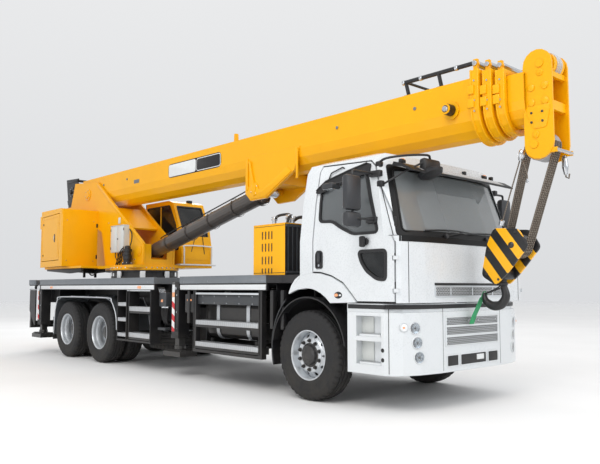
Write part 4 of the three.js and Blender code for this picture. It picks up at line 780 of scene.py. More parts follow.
def hookBody():
    v = hookValues
    x, z = v["sheave"]
    cheeks, iron, hook = Shape(), Shape(), Shape()
    for k in range(v["ropes"] - 1):
        half = [(0.04, 0.02), (0.118, 0.02), (0.124, 0.014), (0.106, 0.006)]
        iron.lathe([(a, -b) for a, b in half] + [(0.104, 0)] + half[::-1], (x, (k - 1.5) * v["spread"] * 1.25, z), (0, 1, 0), 40,
                   closed=True)
    for s in (1, -1):
        low, high = [s * y for y in v["cheek"]]
        cheeks.prism(roundedOutline(v["outline"], 0.05), low, high, soft=0.006)
        iron.lathe([(0.034, 0.1), (0.034, 0.152), (0.028, 0.156), (0.02, 0.161)], (x, 0, z), (0, s, 0), 24)
        iron.bolts([(a, high, b) for a, b in v["boltsAt"]], (0, s, 0), 0.014, 0.01)
        iron.box(1.77, 1.79, s * 0.1, low, 1.40, 1.90)
        safety = [(1.865, s * 0.03, 1.36), (1.80, s * 0.034, 1.31), (1.70, s * 0.02, 1.27), (1.618, 0.0, 1.245)]
        hook.tube(safety, 0.008)
    piece("hookCheeks", cheeks, "hook", "crane_yellow", "hookHazard", replaces=("hook_block",))
    piece("hookSheaves", iron, "hook", "dark_steel", "darkSteel")
    hook.box(1.75, 1.93, -0.115, 0.115, 1.4, 1.51, soft=0.02)
    hook.lathe([(0.06, 0), (0.062, 0.03), (0.05, 0.035), (0.05, 0.07)], (1.835, 0, 1.335), (0, 0, 1), 24)
    route = curvePath(v["forging"], 6)
    girth = []
    for i in range(len(route)):
        swell = 0.036 + 0.014 * math.sin(math.pi * min(1, max(0, (i - 10) / (len(route) - 12))))
        girth.append(swell * (1 - 0.45 * max(0, (i - len(route) + 8) / 8)))
    hook.tube(route, girth, 14)
    piece("hookForging", hook, "hook", "dark_steel", "frameBlack", angle=50)


def hookRopes():
    v = hookValues
    (x, z), (lx, lz) = v["sheave"], v["low"]
    away = math.degrees(math.atan2(lz - z, lx - x))
    ropes, socket = Shape(), Shape()
    for k in range(v["ropes"]):
        y = (k - (v["ropes"] - 1) / 2) * v["spread"]
        fall = arcPoints(lx, lz, 0.162, away + 60, away + 92, 2) + arcPoints(x, z, 0.129, away + 92, away + 260, 14)
        fall += arcPoints(lx, lz, 0.162, away - 92, away - 60, 2)
        ropes.tube([(a, y, b) for a, b in fall], v["ropeRadius"])
    ropes.tube([(2.165, -0.125, 2.69), (2.04, -0.125, 2.34), (1.93, -0.125, 2.02)], 0.0075)
    ropes.hose([(2.175, -0.14, 2.70), (2.215, -0.14, 2.60), (2.24, -0.14, 2.52), (2.245, -0.14, 2.44)], 4, 0.0075)
    socket.lathe([(0.02, 0), (0.034, 0.02), (0.036, 0.06), (0.022, 0.11), (0.012, 0.125)], (2.196, -0.13, 2.775),
                 (-0.033, 0, -0.105), 16)
    socket.lathe([(0.013, 0), (0.013, 0.04)], (2.245, -0.14, 2.45), (0.03, 0, -1), 12)
    socket.lathe([(0.03, 0), (0.03, 0.05), (0.016, 0.06)], (1.915, -0.125, 1.985), (0.3, 0, 1), 14)
    piece("ropeSocket", socket, "hook", "galvanised", "brightSteel")
    piece("hoistRopes", ropes, "hook", "dark_steel", "steelRope", replaces=("hoist_ropes",), angle=60)


def hookStrap():
    v = hookValues
    half = v["strapHalf"]
    strap = Shape()
    line = curvePath(v["strap"], 5)
    section = [(0, -half, 0), (0, half, 0), (0.006, half, -0.002), (0.006, -half, -0.002)]
    strap.skin([[p + Vector(d) for d in section] for p in line], capped=True)
    for y in (-0.034, 0.034):
        strap.tube([(p.x + 0.006, p.y + y, p.z) for p in line], 0.0022, 6)
    strap.tube([(1.575, -0.012, 1.19), (1.6, -0.012, 1.255), (1.616, 0.0, 1.275), (1.636, 0.012, 1.24), (1.61, 0.012, 1.19),
                (1.575, 0.012, 1.18)], 0.006)
    piece("tieDownStrap", strap, "hook", "green_webbing", "greenWebbing", replaces=("tie_down_strap",), angle=60)


hookBody()
hookRopes()
hookStrap()
print("hook made")


boomValues = {"half": 0.288, "top": 3.64, "crease": 3.285, "bottom": 2.97, "wall": 0.02, "label": (-4.66, -3.04, 3.28, 3.53),
              "railX": (0.74, 1.748), "railZ": 3.8, "knobAt": (1.42, 3.32), "bracketPin": (-2.15, 2.81), "bracketHalf": 0.296,
              "collars": [("boom_base", 1.71, 0.062), ("boom_section_2", 1.85, 0.054), ("boom_section_3", 1.99, 0.046)]}


# Section of the boom: flat top and sides over a round belly. Each step inward is one wall.
def boomOutline(step, grow):
    v = boomValues
    w, top, bottom = v["half"] - v["wall"] * step, v["top"] - v["wall"] * step, v["bottom"] + v["wall"] * step
    squeeze = (v["crease"] - bottom + grow) / (w + grow)
    return [(-w - grow, top + grow), (w + grow, top + grow)] + arcPoints(0, v["crease"], w + grow, 0, -180, 15, squeeze)


def boomCollars():
    v = boomValues
    for step, (body, x, grow) in enumerate(v["collars"]):
        shape = Shape()
        w, top, drop = v["half"] - v["wall"] * step, v["top"] - v["wall"] * step, 0.04 * step
        for x0 in (x - 0.004, x + 0.082):
            corners = ((x0, grow + 0.006), (x0 + 0.022, grow + 0.006), (x0 + 0.022, 0.0), (x0, 0.0))
            shape.skin([[(a, y, z) for y, z in boomOutline(step, g)] for a, g in corners], soft=0.004, closed=True)
        for s in (1, -1):
            out = w + grow
            for z in (top - 0.16, 3.33):
                shape.box(x - 0.03, x + 0.05, s * (out - 0.02), s * (out + 0.022), z - 0.05, z + 0.05, soft=0.006)
            shape.bolts([(x + 0.05, s * out, z) for z in (top - 0.06, top - 0.28, 3.24)], (0, s, 0), slot=1)
            shape.bolts([(x + 0.034, s * (w + 0.010), 3.79 - drop)], (0, s, 0), 0.03, 0.02, 1)
        shape.lathe([(0.032, -w * 0.9), (0.036, -w * 0.85), (0.036, w * 0.85), (0.032, w * 0.9)],
                    (x + 0.035, 0, 3.792 - drop), (0, 1, 0), 24, 1)
        piece("collarTrim_" + body, shape, body, "crane_yellow", "craneYellow", "brightSteel")


# Tube frame over the boom's end and the round stop on its side.
def boomFrame():
    v = boomValues
    near, far, top, z = -v["half"], v["half"] - 0.03, v["top"], v["railZ"]
    trim = Shape()
    trim.tube([(x, near, z) for x in v["railX"]], 0.0255, 12)
    for x in (0.77, 1.25):
        trim.tube([(x, near, z), (x, near + 0.06, top - 0.005)], 0.0235, 12)
        trim.box(x - 0.05, x + 0.05, near + 0.02, near + 0.11, top, top + 0.012)
    trim.tube([(0.77, near, z), (0.77, far, z), (1.0, far, z), (1.7, far, z)], 0.017, 12)
    for x in (0.77, 1.3):
        trim.tube([(x, far, z), (x, far - 0.03, top)], 0.017, 10)
    for x in (0.742, 1.0, 1.5, 1.735):
        trim.lathe([(0.024, -0.02), (0.031, -0.016), (0.031, 0.016), (0.024, 0.02)], (x, near, z), (1, 0, 0), 12, 1, closed=True)
    knob = (v["knobAt"][0], near, v["knobAt"][1])
    trim.lathe([(0.06, 0), (0.064, 0.01), (0.064, 0.1), (0.055, 0.128), (0.03, 0.132)], knob, (0, -1, 0), 28)
    trim.lathe([(0, 0.128), (0.036, 0.13), (0.03, 0.144), (0, 0.147)], knob, (0, -1, 0), 20, 1)
    trim.lathe([(0.066, 0.002), (0.105, 0.002), (0.105, 0.016), (0.066, 0.016)], knob, (0, -1, 0), 28, 2, closed=True)
    piece("boomTubeFrame", trim, "boom_base", "frame_black", "frameBlack", "brightSteel", "craneYellow")


def boomPlates():
    v = boomValues
    px, pz = v["bracketPin"]
    plates = Shape()
    for s in (1, -1):
        for x0, x1 in ((-2.34, -2.30), (-1.20, -1.16)):
            plates.box(x0, x1, s * v["bracketHalf"], s * 0.318, 2.86 if x0 > -2 else 2.80, 3.3, soft=0.005)
        plates.prism([(-2.36, 2.76), (-2.24, 2.66), (-1.9, 2.67), (-1.3, 2.98), (-1.4, 3.06), (-1.95, 2.78), (-2.3, 2.86)],
                     s * 0.297, s * 0.309)
        plates.lathe([(0.098, 0), (0.098, 0.014), (0.075, 0.02), (0.05, 0.022), (0.05, 0.03)],
                     (px, s * v["bracketHalf"], pz), (0, s, 0), 28)
        plates.prism([(-2.28, 3.25), (-2.24, 3.25), (-2.10, 2.72), (-2.16, 2.70)], s * v["bracketHalf"], s * 0.325, soft=0.004)
        plates.bolts(ringOf((px, s * 0.31, pz), 0.08, 4, start=0.5), (0, s, 0), 0.01, 0.01, 1)
    piece("liftBracketRibs", plates, "boom_base", "crane_yellow", "craneYellow", "brightSteel")
    label = Shape()
    x0, x1, z0, z1 = v["label"]
    middle = x0 + 0.55 * (x1 - x0)
    fields = [(x0, x1, 0, 0.09, 0.288, 0.290, 0), (x0 + 0.016, middle - 0.012, 0.016, 0.05, 0.289, 0.292, 1),
              (middle + 0.012, x1 - 0.016, 0.016, 0.05, 0.289, 0.2915, 1), (middle + 0.024, x1 - 0.028, 0.028, 0.045, 0.290, 0.2925, 0)]
    for s in (1, -1):
        for a, b, inset, corner, low, high, slot in fields:
            label.prism(plateOutline(a, b, z0 + inset, z1 - inset, corner), s * low, s * high, soft=0.001, slot=slot)
    piece("boomPlate", label, "boom_base", "panel_grey", "trimBlack", "labelPale")
    small = Shape()
    for s in (1, -1):
        small.box(-5.92, -5.72, s * 0.288, s * 0.2925, 3.33, 3.40, soft=0.001)
        for x in (-7.2, -6.2, -0.4, 0.9):
            small.bolts([(x, s * 0.288, 3.45)], (0, s, 0), 0.022, 0.014)
    piece("boomPlugs", small, "boom_base", "galvanised", "galvanised")


headValues = {"middle": 2.41, "plate": 0.185, "sheaves": [((2.36, 2.8), 0.1525, 5), ((2.44, 3.645), 0.1325, 3)], "spread": 0.036}


def headPieces():
    v = headValues
    x0, plate = v["middle"], v["plate"]
    trim, wheels, extra = Shape(), Shape(), Shape()
    for s in (1, -1):
        for x, z in ((x0 + 0.03, 3.55), (x0 - 0.03, 2.9)):
            trim.lathe([(0.04, 0), (0.04, 0.006), (0.032, 0.012), (0.022, 0.012), (0.02, 0.018)], (x, s * plate, z), (0, s, 0))
        for x in (x0 - 0.07, x0 + 0.08):
            for z in (3.4, 3.24):
                trim.lathe([(0.04, 0), (0.04, 0.008), (0.03, 0.014)], (x, s * plate, z), (0, s, 0), 20)
        trim.bolts([(x0 + a, s * (plate + 0.008), 3.07 + b) for a in (-0.07, 0.05) for b in (-0.04, 0.06)], (0, s, 0), 0.014, 0.008, 1)
        web = [(x0 + a, z) for a, z in ((-0.13, 3.14), (-0.06, 2.96), (0.09, 2.96), (0.13, 3.14), (0.13, 3.2), (-0.13, 3.2))]
        trim.prism(roundedOutline(web, 0.03), s * plate, s * (plate + 0.008), soft=0.002)
    piece("headBosses", trim, "boom_head", "crane_yellow", "craneYellow", "darkSteel")
    for (x, z), r, count in v["sheaves"]:
        half = [(0.05, 0.015), (r - 0.02, 0.006), (r, 0.017), (r + 0.006, 0.015), (r - 0.01, 0.003)]
        for k in range(count):
            wheels.lathe([(a, -b) for a, b in half] + half[::-1], (x, (k - (count - 1) / 2) * v["spread"], z), (0, 1, 0), 48,
                         closed=True)
    piece("headSheaves", wheels, "boom_head", "panel_grey", "sheaveGrey")
    extra.tube([(x0 + 0.178, -0.172, 2.715), (x0 + 0.178, 0.172, 2.715)], 0.0185, 14)
    extra.lathe([(0.03, 0), (0.034, 0.08), (0.02, 0.16), (0.012, 0.17)], (2.52, 0.14, 2.66), (0.06, 0, -1), 14)
    extra.tube([(2.525, 0.14, 2.52), (2.53, 0.14, 2.47), (2.56, 0.14, 2.45), (2.57, 0.14, 2.5)], 0.0085, 8, 1)
    extra.box(2.497, 2.543, 0.12, 0.16, 2.64, 2.70, soft=0.006)
    piece("headFittings", extra, "boom_head", "galvanised", "brightSteel", "steelRope")


boomCollars()
boomFrame()
boomPlates()
headPieces()
print("boom details made")


def growOutline(points, distance):
    area = sum(a[0] * b[1] - b[0] * a[1] for a, b in zip(points, points[1:] + points[:1]))
    turn = 1 if area > 0 else -1
    out = []
    for i, p in enumerate(points):
        a, b, c = Vector(points[i - 1]), Vector(p), Vector(points[(i + 1) % len(points)])
        one, two = (b - a).normalized(), (c - b).normalized()
        first, second = Vector((one.y, -one.x)) * turn, Vector((two.y, -two.x)) * turn
        out.append(tuple(b + (first + second) / max(0.35, 1 + first.dot(second)) * distance))
    return out


# A sheet laid on a surface: place turns (across, up, height off the surface) into a point.
def sheet(shape, outline, place, rise, thick, cutsU=(), cutsV=(), slot=0):
    flat, part = bmesh.new(), bmesh.new()
    flat.faces.new([flat.verts.new((u, v, 0)) for u, v in outline])
    for point, normal in [((u, 0, 0), (1, 0, 0)) for u in cutsU] + [((0, v, 0), (0, 1, 0)) for v in cutsV]:
        bmesh.ops.bisect_plane(flat, geom=flat.verts[:] + flat.edges[:] + flat.faces[:], plane_co=point, plane_no=normal)
    bmesh.ops.triangulate(flat, faces=flat.faces[:])
    top, low = [{v: part.verts.new(place(v.co.x, v.co.y, h)) for v in flat.verts} for h in (rise, rise - thick)]
    for f in flat.faces:
        part.faces.new([top[v] for v in f.verts])
        part.faces.new([low[v] for v in f.verts][::-1])
    for e in flat.edges:
        if e.is_boundary:
            a, b = e.verts
            part.faces.new((top[a], top[b], low[b], low[a]))
    flat.free()
    return shape.take(part, slot)


def ringSheet(shape, inner, outer, place, rise, thick, step=0.08, slot=0):
    rows = [[], [], [], []]
    for i, (a, c) in enumerate(zip(inner, outer)):
        b, d = inner[(i + 1) % len(inner)], outer[(i + 1) % len(outer)]
        count = max(1, math.ceil(math.dist(a, b) / step))
        for k in range(count):
            near, far = [[p[n] + (q[n] - p[n]) * k / count for n in (0, 1)] for p, q in ((a, b), (c, d))]
            for row, (u, v), h in zip(rows, (near, far, far, near), (rise, rise, rise - thick, rise - thick)):
                row.append(place(u, v, h))
    return shape.skin(rows, slot, closed=True)


def stepValue(table, at):
    for (a, b), (c, d) in zip(table, table[1:]):
        if at <= c:
            return b + (d - b) * (at - a) / (c - a)
    return table[-1][1]


cabValues = {
    "side": [(1.0, 1.24), (1.85, 1.24), (2.3, 1.185), (2.68, 1.11), (2.78, 1.04), (2.83, 0.90)],
    "low": [(0.0, 1.45), (0.6, 1.45), (0.85, 1.44), (1.05, 1.415), (1.18, 1.385), (1.24, 1.35)],
    "high": [(0.0, 1.447), (0.4, 1.445), (0.75, 1.41), (1.0, 1.345), (1.15, 1.28), (1.24, 1.2)],
    "bumper": [(0.0, 1.45), (0.61, 1.45), (0.91, 1.41), (1.11, 1.34), (1.2, 1.26), (1.24, 1.19)],
    "screen": [(-1.06, 1.905), (1.06, 1.905), (0.975, 2.61), (-0.975, 2.61)],
    "sideWindow": [(0.215, 2.08), (0.2, 2.48), (0.86, 2.635), (1.11, 1.905), (0.76, 1.905), (0.56, 1.99), (0.42, 2.07)],
    "peep": [(0.85, 1.696), (1.222, 1.697), (1.217, 1.398), (1.1, 1.41), (0.959, 1.496), (0.88, 1.6)],
    "door": [(0.13, 1.497), (0.25, 1.492), (0.43, 1.45), (0.61, 1.37), (0.745, 1.24), (0.815, 1.165), (1.335, 1.165),
             (1.338, 1.78), (1.3, 1.85), (0.985, 2.64), (0.9, 2.705), (0.13, 2.745)],
    "doorGuard": [(0.12, 2.415), (0.135, 2.475), (0.26, 2.56), (0.86, 2.695), (0.93, 2.675), (0.925, 2.56), (0.83, 2.555),
                  (0.34, 2.455), (0.28, 2.425), (0.20, 2.41)],
    "handle": [(0.173, 1.53), (0.173, 1.70), (0.20, 1.735), (0.26, 1.735), (0.286, 1.71), (0.286, 1.53)],
    "visor": [(1.168, 2.679), (1.30, 2.639), (1.404, 2.578), (1.41, 2.56), (1.396, 2.552), (1.388, 2.558), (1.28, 2.612),
              (1.146, 2.636)],
    "arch": (0.02, 0.585), "frontBreaks": [s * y for s in (1, -1) for y in (0.4, 0.6, 0.75, 0.85, 1.0, 1.05, 1.15)],
}


def sidePlace(s):
    return lambda u, v, h: Vector((u, s * (stepValue(cabValues["side"], v) + h), v))


def highPlace(u, v, h):
    return Vector((stepValue(cabValues["high"], abs(u)) - 0.33 * (v - 1.849) + h, u, v))


def frontPlace(level):
    return lambda u, v, h: Vector((stepValue(cabValues[level], abs(u)) + h, u, v))


lowPlace, bumperPlace = frontPlace("low"), frontPlace("bumper")


def onSurface(place, u, v):
    at = place(u, v, 0)
    normal = (place(u + 0.01, v, 0) - at).cross(place(u, v + 0.01, 0) - at).normalized()
    return at, normal if normal.x > 0 else -normal


# Copies the faces of a frame node that the rule keeps.
def skinCopy(node, keep):
    shape, part = Shape(), bmesh.new()
    part.from_mesh(frame["nodes"][node].data)
    bmesh.ops.remove_doubles(part, verts=part.verts, dist=1e-5)
    bmesh.ops.translate(part, vec=(-axleX, 0, 0), verts=part.verts)
    bmesh.ops.delete(part, geom=[f for f in part.faces if not keep(f.calc_center_median())], context="FACES")
    made = {v: shape.mesh.verts.new(v.co) for v in part.verts}
    for f in part.faces:
        shape.mesh.faces.new([made[v] for v in f.verts])
    part.free()
    return shape


def doorPieces(sideName, s):
    body = "door_" + sideName
    place = sidePlace(s)
    glazing, low, trim, handle = Shape(), Shape(), Shape(), Shape()
    skin = skinCopy(body, lambda c: abs(c.y) < 1.243)
    piece("doorSkin_" + sideName, skin, body, "cab_white", "cabWhite", angle=25, replaces=(body,))
    window = roundedOutline(cabValues["sideWindow"], 0.05, 4)
    peep = roundedOutline(cabValues["peep"], 0.04, 4)
    sheet(glazing, growOutline(window, 0.008), place, -0.012, 0.005, cutsV=(2.3,))
    piece("sideGlass_" + sideName, glazing, body, "glass", "sideGlass")
    sheet(low, growOutline(peep, 0.006), place, -0.010, 0.005)
    piece("peepGlass_" + sideName, low, body, "glass", "darkGlass")
    for outline, inward, outward in ((window, -0.010, 0.022), (peep, -0.012, 0.024)):
        ringSheet(trim, growOutline(outline, inward), growOutline(outline, outward), place, 0.006, 0.02)
    trim.tube([(0.86, s * 1.15, 2.62), (0.95, s * 1.185, 2.3), (1.09, s * 1.235, 1.92)], 0.006)
    sheet(trim, roundedOutline(cabValues["doorGuard"], 0.02, 2), place, 0.03, 0.03, cutsV=(2.5, 2.6))
    trim.tube([place(u, v, 0.03) for u, v in ((0.13, 2.45), (0.27, 2.55), (0.6, 2.63), (0.88, 2.685))], 0.011)
    trim.tube([place(0.30, 2.57, 0.015), place(0.33, 2.64, 0.02), place(0.50, 2.69, 0.02), place(0.52, 2.675, 0.0)], 0.008)
    piece("windowTrim_" + sideName, trim, body, "trim_grey", "trimBlack", angle=45)
    bezel = roundedOutline(cabValues["handle"], 0.03)
    sheet(handle, bezel, place, 0.006, 0.02)
    ringSheet(handle, growOutline(bezel, -0.014), growOutline(bezel, 0.002), place, 0.012, 0.01)
    handle.box(0.205, 0.255, s * 1.244, s * 1.264, 1.60, 1.715, soft=0.01, slot=1)
    handle.lathe([(0.014, 0), (0.014, 0.006)], (0.23, s * 1.246, 1.565), (0, s, 0), 16, 2)
    handle.lathe([(0.03, 0), (0.04, 0.02), (0.03, 0.035)], (0.965, s * 1.24, 1.805), (0, s, 0), 16)
    handle.box(0.90, 0.975, s * 1.265, s * 1.305, 1.745, 1.865, soft=0.018)
    handle.box(0.9035, 0.9055, s * 1.27, s * 1.3, 1.755, 1.855, soft=0.0008, slot=3)
    piece("doorHandle_" + sideName, handle, body, "trim_grey", "trimBlack", "mirrorGrey", "brightSteel",
          "mirrorGlass")


def mirrorPieces(sideName, s):
    mirror = Shape()
    for z0, z1 in ((2.12, 2.495), (1.945, 2.105)):
        mirror.box(0.952, 1.040, s * 1.392, s * 1.62, z0, z1, soft=0.034)
    mirror.box(0.605, 0.78, s * 1.442, s * 1.58, 2.372, 2.438, soft=0.025)
    for z0, z1 in ((2.145, 2.47), (1.965, 2.085)):
        mirror.box(0.949, 0.956, s * 1.412, s * 1.60, z0, z1, soft=0.003, slot=1)
    mirror.box(0.62, 0.765, s * 1.457, s * 1.565, 2.369, 2.373, soft=0.001, slot=1)
    rod = [(0.99, s * 1.12, 2.545), (0.99, s * 1.44, 2.55), (0.99, s * 1.475, 2.54), (0.99, s * 1.49, 2.50), (0.99, s * 1.49, 2.09)]
    mirror.hose(rod, 4, 0.014, 10, 2)
    lower = [(1.072, s * 1.19, 2.033), (1.072, s * 1.34, 2.033), (1.06, s * 1.44, 2.033), (1.0, s * 1.48, 2.033)]
    mirror.hose(lower, 4, 0.012, 10, 2)
    kerb = [(0.99, s * 1.487, 2.50), (0.92, s * 1.49, 2.452), (0.85, s * 1.495, 2.436), (0.74, s * 1.5, 2.428)]
    mirror.hose(kerb, 4, 0.011, 10, 2)
    for y, z in ((1.15, 2.545), (1.215, 2.033)):
        mirror.box(0.95, 1.10, s * (y - 0.03), s * (y + 0.035), z - 0.035, z + 0.035, soft=0.012, slot=2)
    piece("mirrors_" + sideName, mirror, "door_" + sideName, "trim_grey", "mirrorGrey", "mirrorGlass", "frameBlack")


def screenPieces():
    black, wipers = Shape(), Shape()
    screen = roundedOutline(cabValues["screen"], 0.06, 5)
    outer = roundedOutline([(-1.135, 1.853), (1.135, 1.853), (1.035, 2.665), (-1.035, 2.665)], 0.05, 5)
    ringSheet(black, growOutline(screen, -0.016), outer, highPlace, 0.004, 0.012, step=0.05)
    band = [(-1.2, 1.792), (1.2, 1.792), (1.2, 1.856), (-1.2, 1.856)]
    sheet(black, band, lowPlace, 0.004, 0.02, cutsU=cabValues["frontBreaks"])
    columns = [-1.2 + 0.05 * i for i in range(49)]
    ledge = ((lowPlace, 1.856, 0.004), (highPlace, 1.862, 0.006), (highPlace, 1.85, -0.01), (lowPlace, 1.85, -0.01))
    black.skin([[place(y, z, h) for y in columns] for place, z, h in ledge], around=False, closed=True)
    black.tube([highPlace(u, v, 0.004) for u, v in screen], 0.008, 8, closed=True)
    piece("screenSurround", black, "carrier", "trim_grey", "gasket", angle=50)
    for y0, y1 in ((-0.78, -0.16), (0.02, 0.66)):
        start = lowPlace(y0 + 0.3, 1.87, -0.01)
        wipers.hose([start, highPlace((y0 + y1) / 2 + 0.15, 1.905, 0.035), highPlace(y1, 1.93, 0.03)], 4, 0.008)
        spread = (y1 + 0.22 - y0) / 8
        blade = [highPlace(y0 + spread * i, 1.925 + 0.02 * math.sin(math.pi * i / 8), 0.018) for i in range(9)]
        wipers.tube(blade, 0.009, 6)
        wipers.disc(start, (1, 0, 0.4), 0.028, 0.03, 16)
    piece("wipers", wipers, "carrier", "trim_grey", "trimBlack")


def visorPieces():
    visor, guard = Shape(), Shape()

    def bowed(x, y, z):
        return x - 0.004 * y ** 4, y, z + 0.006 * (1 - y * y)

    # The two ends of the visor, past 0.84 m out, are black (slot 1): a painted shadow of the front mirror; the middle
    # keeps the visor's grey.
    for low, high, slot in ((-1.022, -0.84, 1), (-0.84, 0.84, 0), (0.84, 1.022, 1)):
        spots = [low + (high - low) * i / 16 for i in range(17)]
        rows = [[bowed(x, y, z) for x, z in cabValues["visor"]] for y in spots]
        visor.skin(rows, slot, capped=True)
    visor.tube([bowed(1.406, -1.022 + 2.044 * i / 24, 2.563) for i in range(25)], 0.013, 8, 1)
    for y in (-0.9, -0.3, 0.3, 0.9):
        visor.box(1.15, 1.2, y - 0.02, y + 0.02, 2.67, 2.72, soft=0.006, slot=1)
    for y in (-0.82, 0.82):
        visor.lathe([(0.04, 0), (0.042, 0.012), (0.034, 0.034), (0.015, 0.044), (0, 0.045)],
                    (1.12, y, 2.70), (0.35, 0, 0.94), 20, 1)
        visor.lathe([(0.036, 0.018), (0.03, 0.036), (0.012, 0.047), (0, 0.048)], (1.12, y, 2.70), (0.35, 0, 0.94), 20, 2)
    piece("sunVisor", visor, "carrier", "panel_grey", "visorGrey", "trimBlack", "amberLens", angle=50)
    guard.box(1.33, 1.42, -0.80, -0.50, 2.56, 2.72, soft=0.035)
    guard.lathe([(0, -0.02), (0.13, -0.01), (0.145, 0.0), (0.13, 0.035), (0.07, 0.055), (0, 0.06)],
                (1.375, -0.65, 2.575), (0.35, 0, -1), 24)
    guard.box(1.326, 1.331, -0.77, -0.53, 2.585, 2.695, soft=0.002, slot=1)
    upper = [(1.00, -1.10, 2.66), (1.12, -1.09, 2.71), (1.30, -0.95, 2.735), (1.385, -0.72, 2.755), (1.38, -0.66, 2.73),
             (1.37, -0.65, 2.69)]
    guard.hose(upper, 4, 0.013, 10)
    guard.hose([(1.10, -1.13, 2.42), (1.20, -1.10, 2.47), (1.32, -0.95, 2.58), (1.38, -0.80, 2.66)], 4, 0.011, 10)
    for x, y, z in ((1.02, -1.09, 2.655), (1.03, -1.125, 2.55), (1.08, -1.14, 2.43)):
        guard.box(x - 0.035, x + 0.035, y - 0.03, y + 0.035, z - 0.035, z + 0.035, soft=0.014)
    piece("frontMirror", guard, "carrier", "trim_grey", "trimBlack", "mirrorGlass")


# A head lamp: bezel, reflector, bulb and lens.
def lamp(shape, at, normal, r):
    shape.lathe([(r * 1.18, -0.01), (r * 1.18, 0.004), (r * 1.06, 0.01), (r * 0.98, 0.008), (r * 0.96, -0.01)],
                at, normal, 36, 0, closed=True)
    shape.lathe([(r * 0.98, 0.004), (r * 0.8, -0.002), (r * 0.4, 0.0012), (r * 0.2, 0.0014), (0, 0.0016)], at, normal, 36, 1)
    shape.lathe([(0, 0.0), (r * 0.26, 0.002), (r * 0.24, 0.006), (0, 0.0075)], at, normal, 20, 2)
    shape.lathe([(r * 0.98, 0.0045), (r * 0.7, 0.0085), (r * 0.35, 0.0105), (0, 0.0115), (0, 0.0105), (r * 0.7, 0.0072),
                 (r * 0.97, 0.003)], at, normal, 36, 3)


def bumperPieces():
    lamps, grille, upper = Shape(), Shape(), Shape()
    breaks = cabValues["frontBreaks"]
    for s in (1, -1):
        for y, z in ((0.975, 0.889), (0.95, 0.737), (0.93, 0.585)):
            lamp(lamps, *onSurface(bumperPlace, s * y, z), 0.06)
        at, normal = onSurface(bumperPlace, s * 1.1, 0.897)
        lamps.lathe([(0.05, -0.01), (0.05, 0.004), (0.044, 0.007), (0.042, -0.01)], at, normal, 28, 0, closed=True)
        lamps.lathe([(0.043, 0.0), (0.04, 0.008), (0.02, 0.012), (0, 0.013)], at, normal, 28, 4)
        lamps.lathe([(0.014, 0.005), (0.012, 0.0135), (0, 0.0145)], at + Vector((0, s * 0.01, 0)), normal, 16, 5)
    piece("headLamps", lamps, "carrier", "cab_white", "cabWhite", "reflector", "trimBlack", "lampLens",
          "clearLens", "amberLens")
    for z0, z1 in ((0.905, 0.985), (0.80, 0.885), (0.69, 0.775)):
        grille.box(1.446, 1.4535, -0.505, 0.505, z0, z1, soft=0.002)
        for z in (z0 - 0.008, z1 + 0.004):
            grille.box(1.446, 1.461, -0.52, 0.52, z - 0.006, z + 0.008, slot=1)
    for y in (-0.52, 0.52):
        grille.box(1.446, 1.460, y - 0.012, y + 0.012, 0.676, 1.0, slot=1)
    # The three lower openings are closed by thin black plates in white rims: painted shade inside the openings.
    for y0, y1 in ((-0.50, -0.30), (-0.25, 0.25), (0.30, 0.50)):
        grille.box(1.447, 1.4525, y0, y1, 0.465, 0.575, soft=0.002, slot=2)
        ring = plateOutline(y0, y1, 0.465, 0.575, 0.012, 2)
        ringSheet(grille, ring, growOutline(ring, 0.014), bumperPlace, 0.008, 0.014, slot=1)
    for y in (-0.46, 0.46, -0.1, 0.1):
        grille.bolts([(1.453, y, 0.945)], (1, 0, 0), 0.01, 0.008, 3)
    grille.box(1.452, 1.462, 0.06, 0.2, 0.50, 0.56, slot=4)
    piece("bumperGrille", grille, "carrier", "trim_grey", "grilleMesh", "cabWhite", "trimBlack", "brightSteel",
          "labelPale")
    outline = plateOutline(-0.685, 0.685, 1.222, 1.318, 0.012, 2)
    sheet(upper, outline, lowPlace, 0.004, 0.01, cutsU=breaks)
    ringSheet(upper, outline, growOutline(outline, 0.016), lowPlace, 0.009, 0.014, slot=1)
    sheet(upper, [(-0.70, 1.336), (0.70, 1.336), (0.70, 1.362), (-0.70, 1.362)], lowPlace, 0.007, 0.012, cutsU=breaks, slot=2)
    for y in (-0.42, 0.0, 0.42):
        upper.box(1.447, 1.460, y - 0.008, y + 0.008, 1.225, 1.315, soft=0.003, slot=1)
    piece("upperGrille", upper, "carrier", "trim_grey", "grilleMesh", "rimSilver", "trimBlack")


def seamPieces():
    seams, steps = Shape(), Shape()
    seamLines = ((lowPlace, 1.09, 1.16, 0.63, 0.004), (bumperPlace, 1.215, 0.42, 0.71, 0.004), (bumperPlace, 0.57, 0.42, 0.69, 0.0025))
    for s in (1, -1):
        for place, y, z, tall, radius in seamLines:
            seams.tube([place(s * y, z + tall * i / 6, 0.0) for i in range(7)], radius, 6)
        for z in (0.56, 0.66):
            seams.disc((1.17, s * 1.238, z), (0, s, 0), 0.022, 0.006, 20)
        seams.box(0.66, 1.19, s * 1.20, s * 1.222, 1.085, 1.13)
    columns = [-1.222 + 2.444 * i / 60 for i in range(61)]
    groove = ((1.085, -0.02), (1.13, -0.02), (1.13, -0.04), (1.085, -0.04))
    seams.skin([[bumperPlace(y, z, h) for y in columns] for z, h in groove], around=False, closed=True)
    piece("frontSeams", seams, "carrier", "trim_grey", "trimBlack")
    for s in (1, -1):
        for z in (0.50, 0.795):
            steps.box(0.84, 1.14, s * 1.14, s * 1.238, z - 0.002, z + 0.026, soft=0.008)
            steps.box(0.86, 1.12, s * 1.15, s * 1.235, z + 0.026, z + 0.030, soft=0.002, slot=1)
        for z0, z1 in ((0.53, 0.74), (0.825, 1.0)):
            steps.box(0.80, 0.97, s * 1.139, s * 1.147, z0, z1, soft=0.002, slot=2)
    piece("cabSteps", steps, "carrier", "cab_white", "cabWhite", "treadStep", "panelGrey")


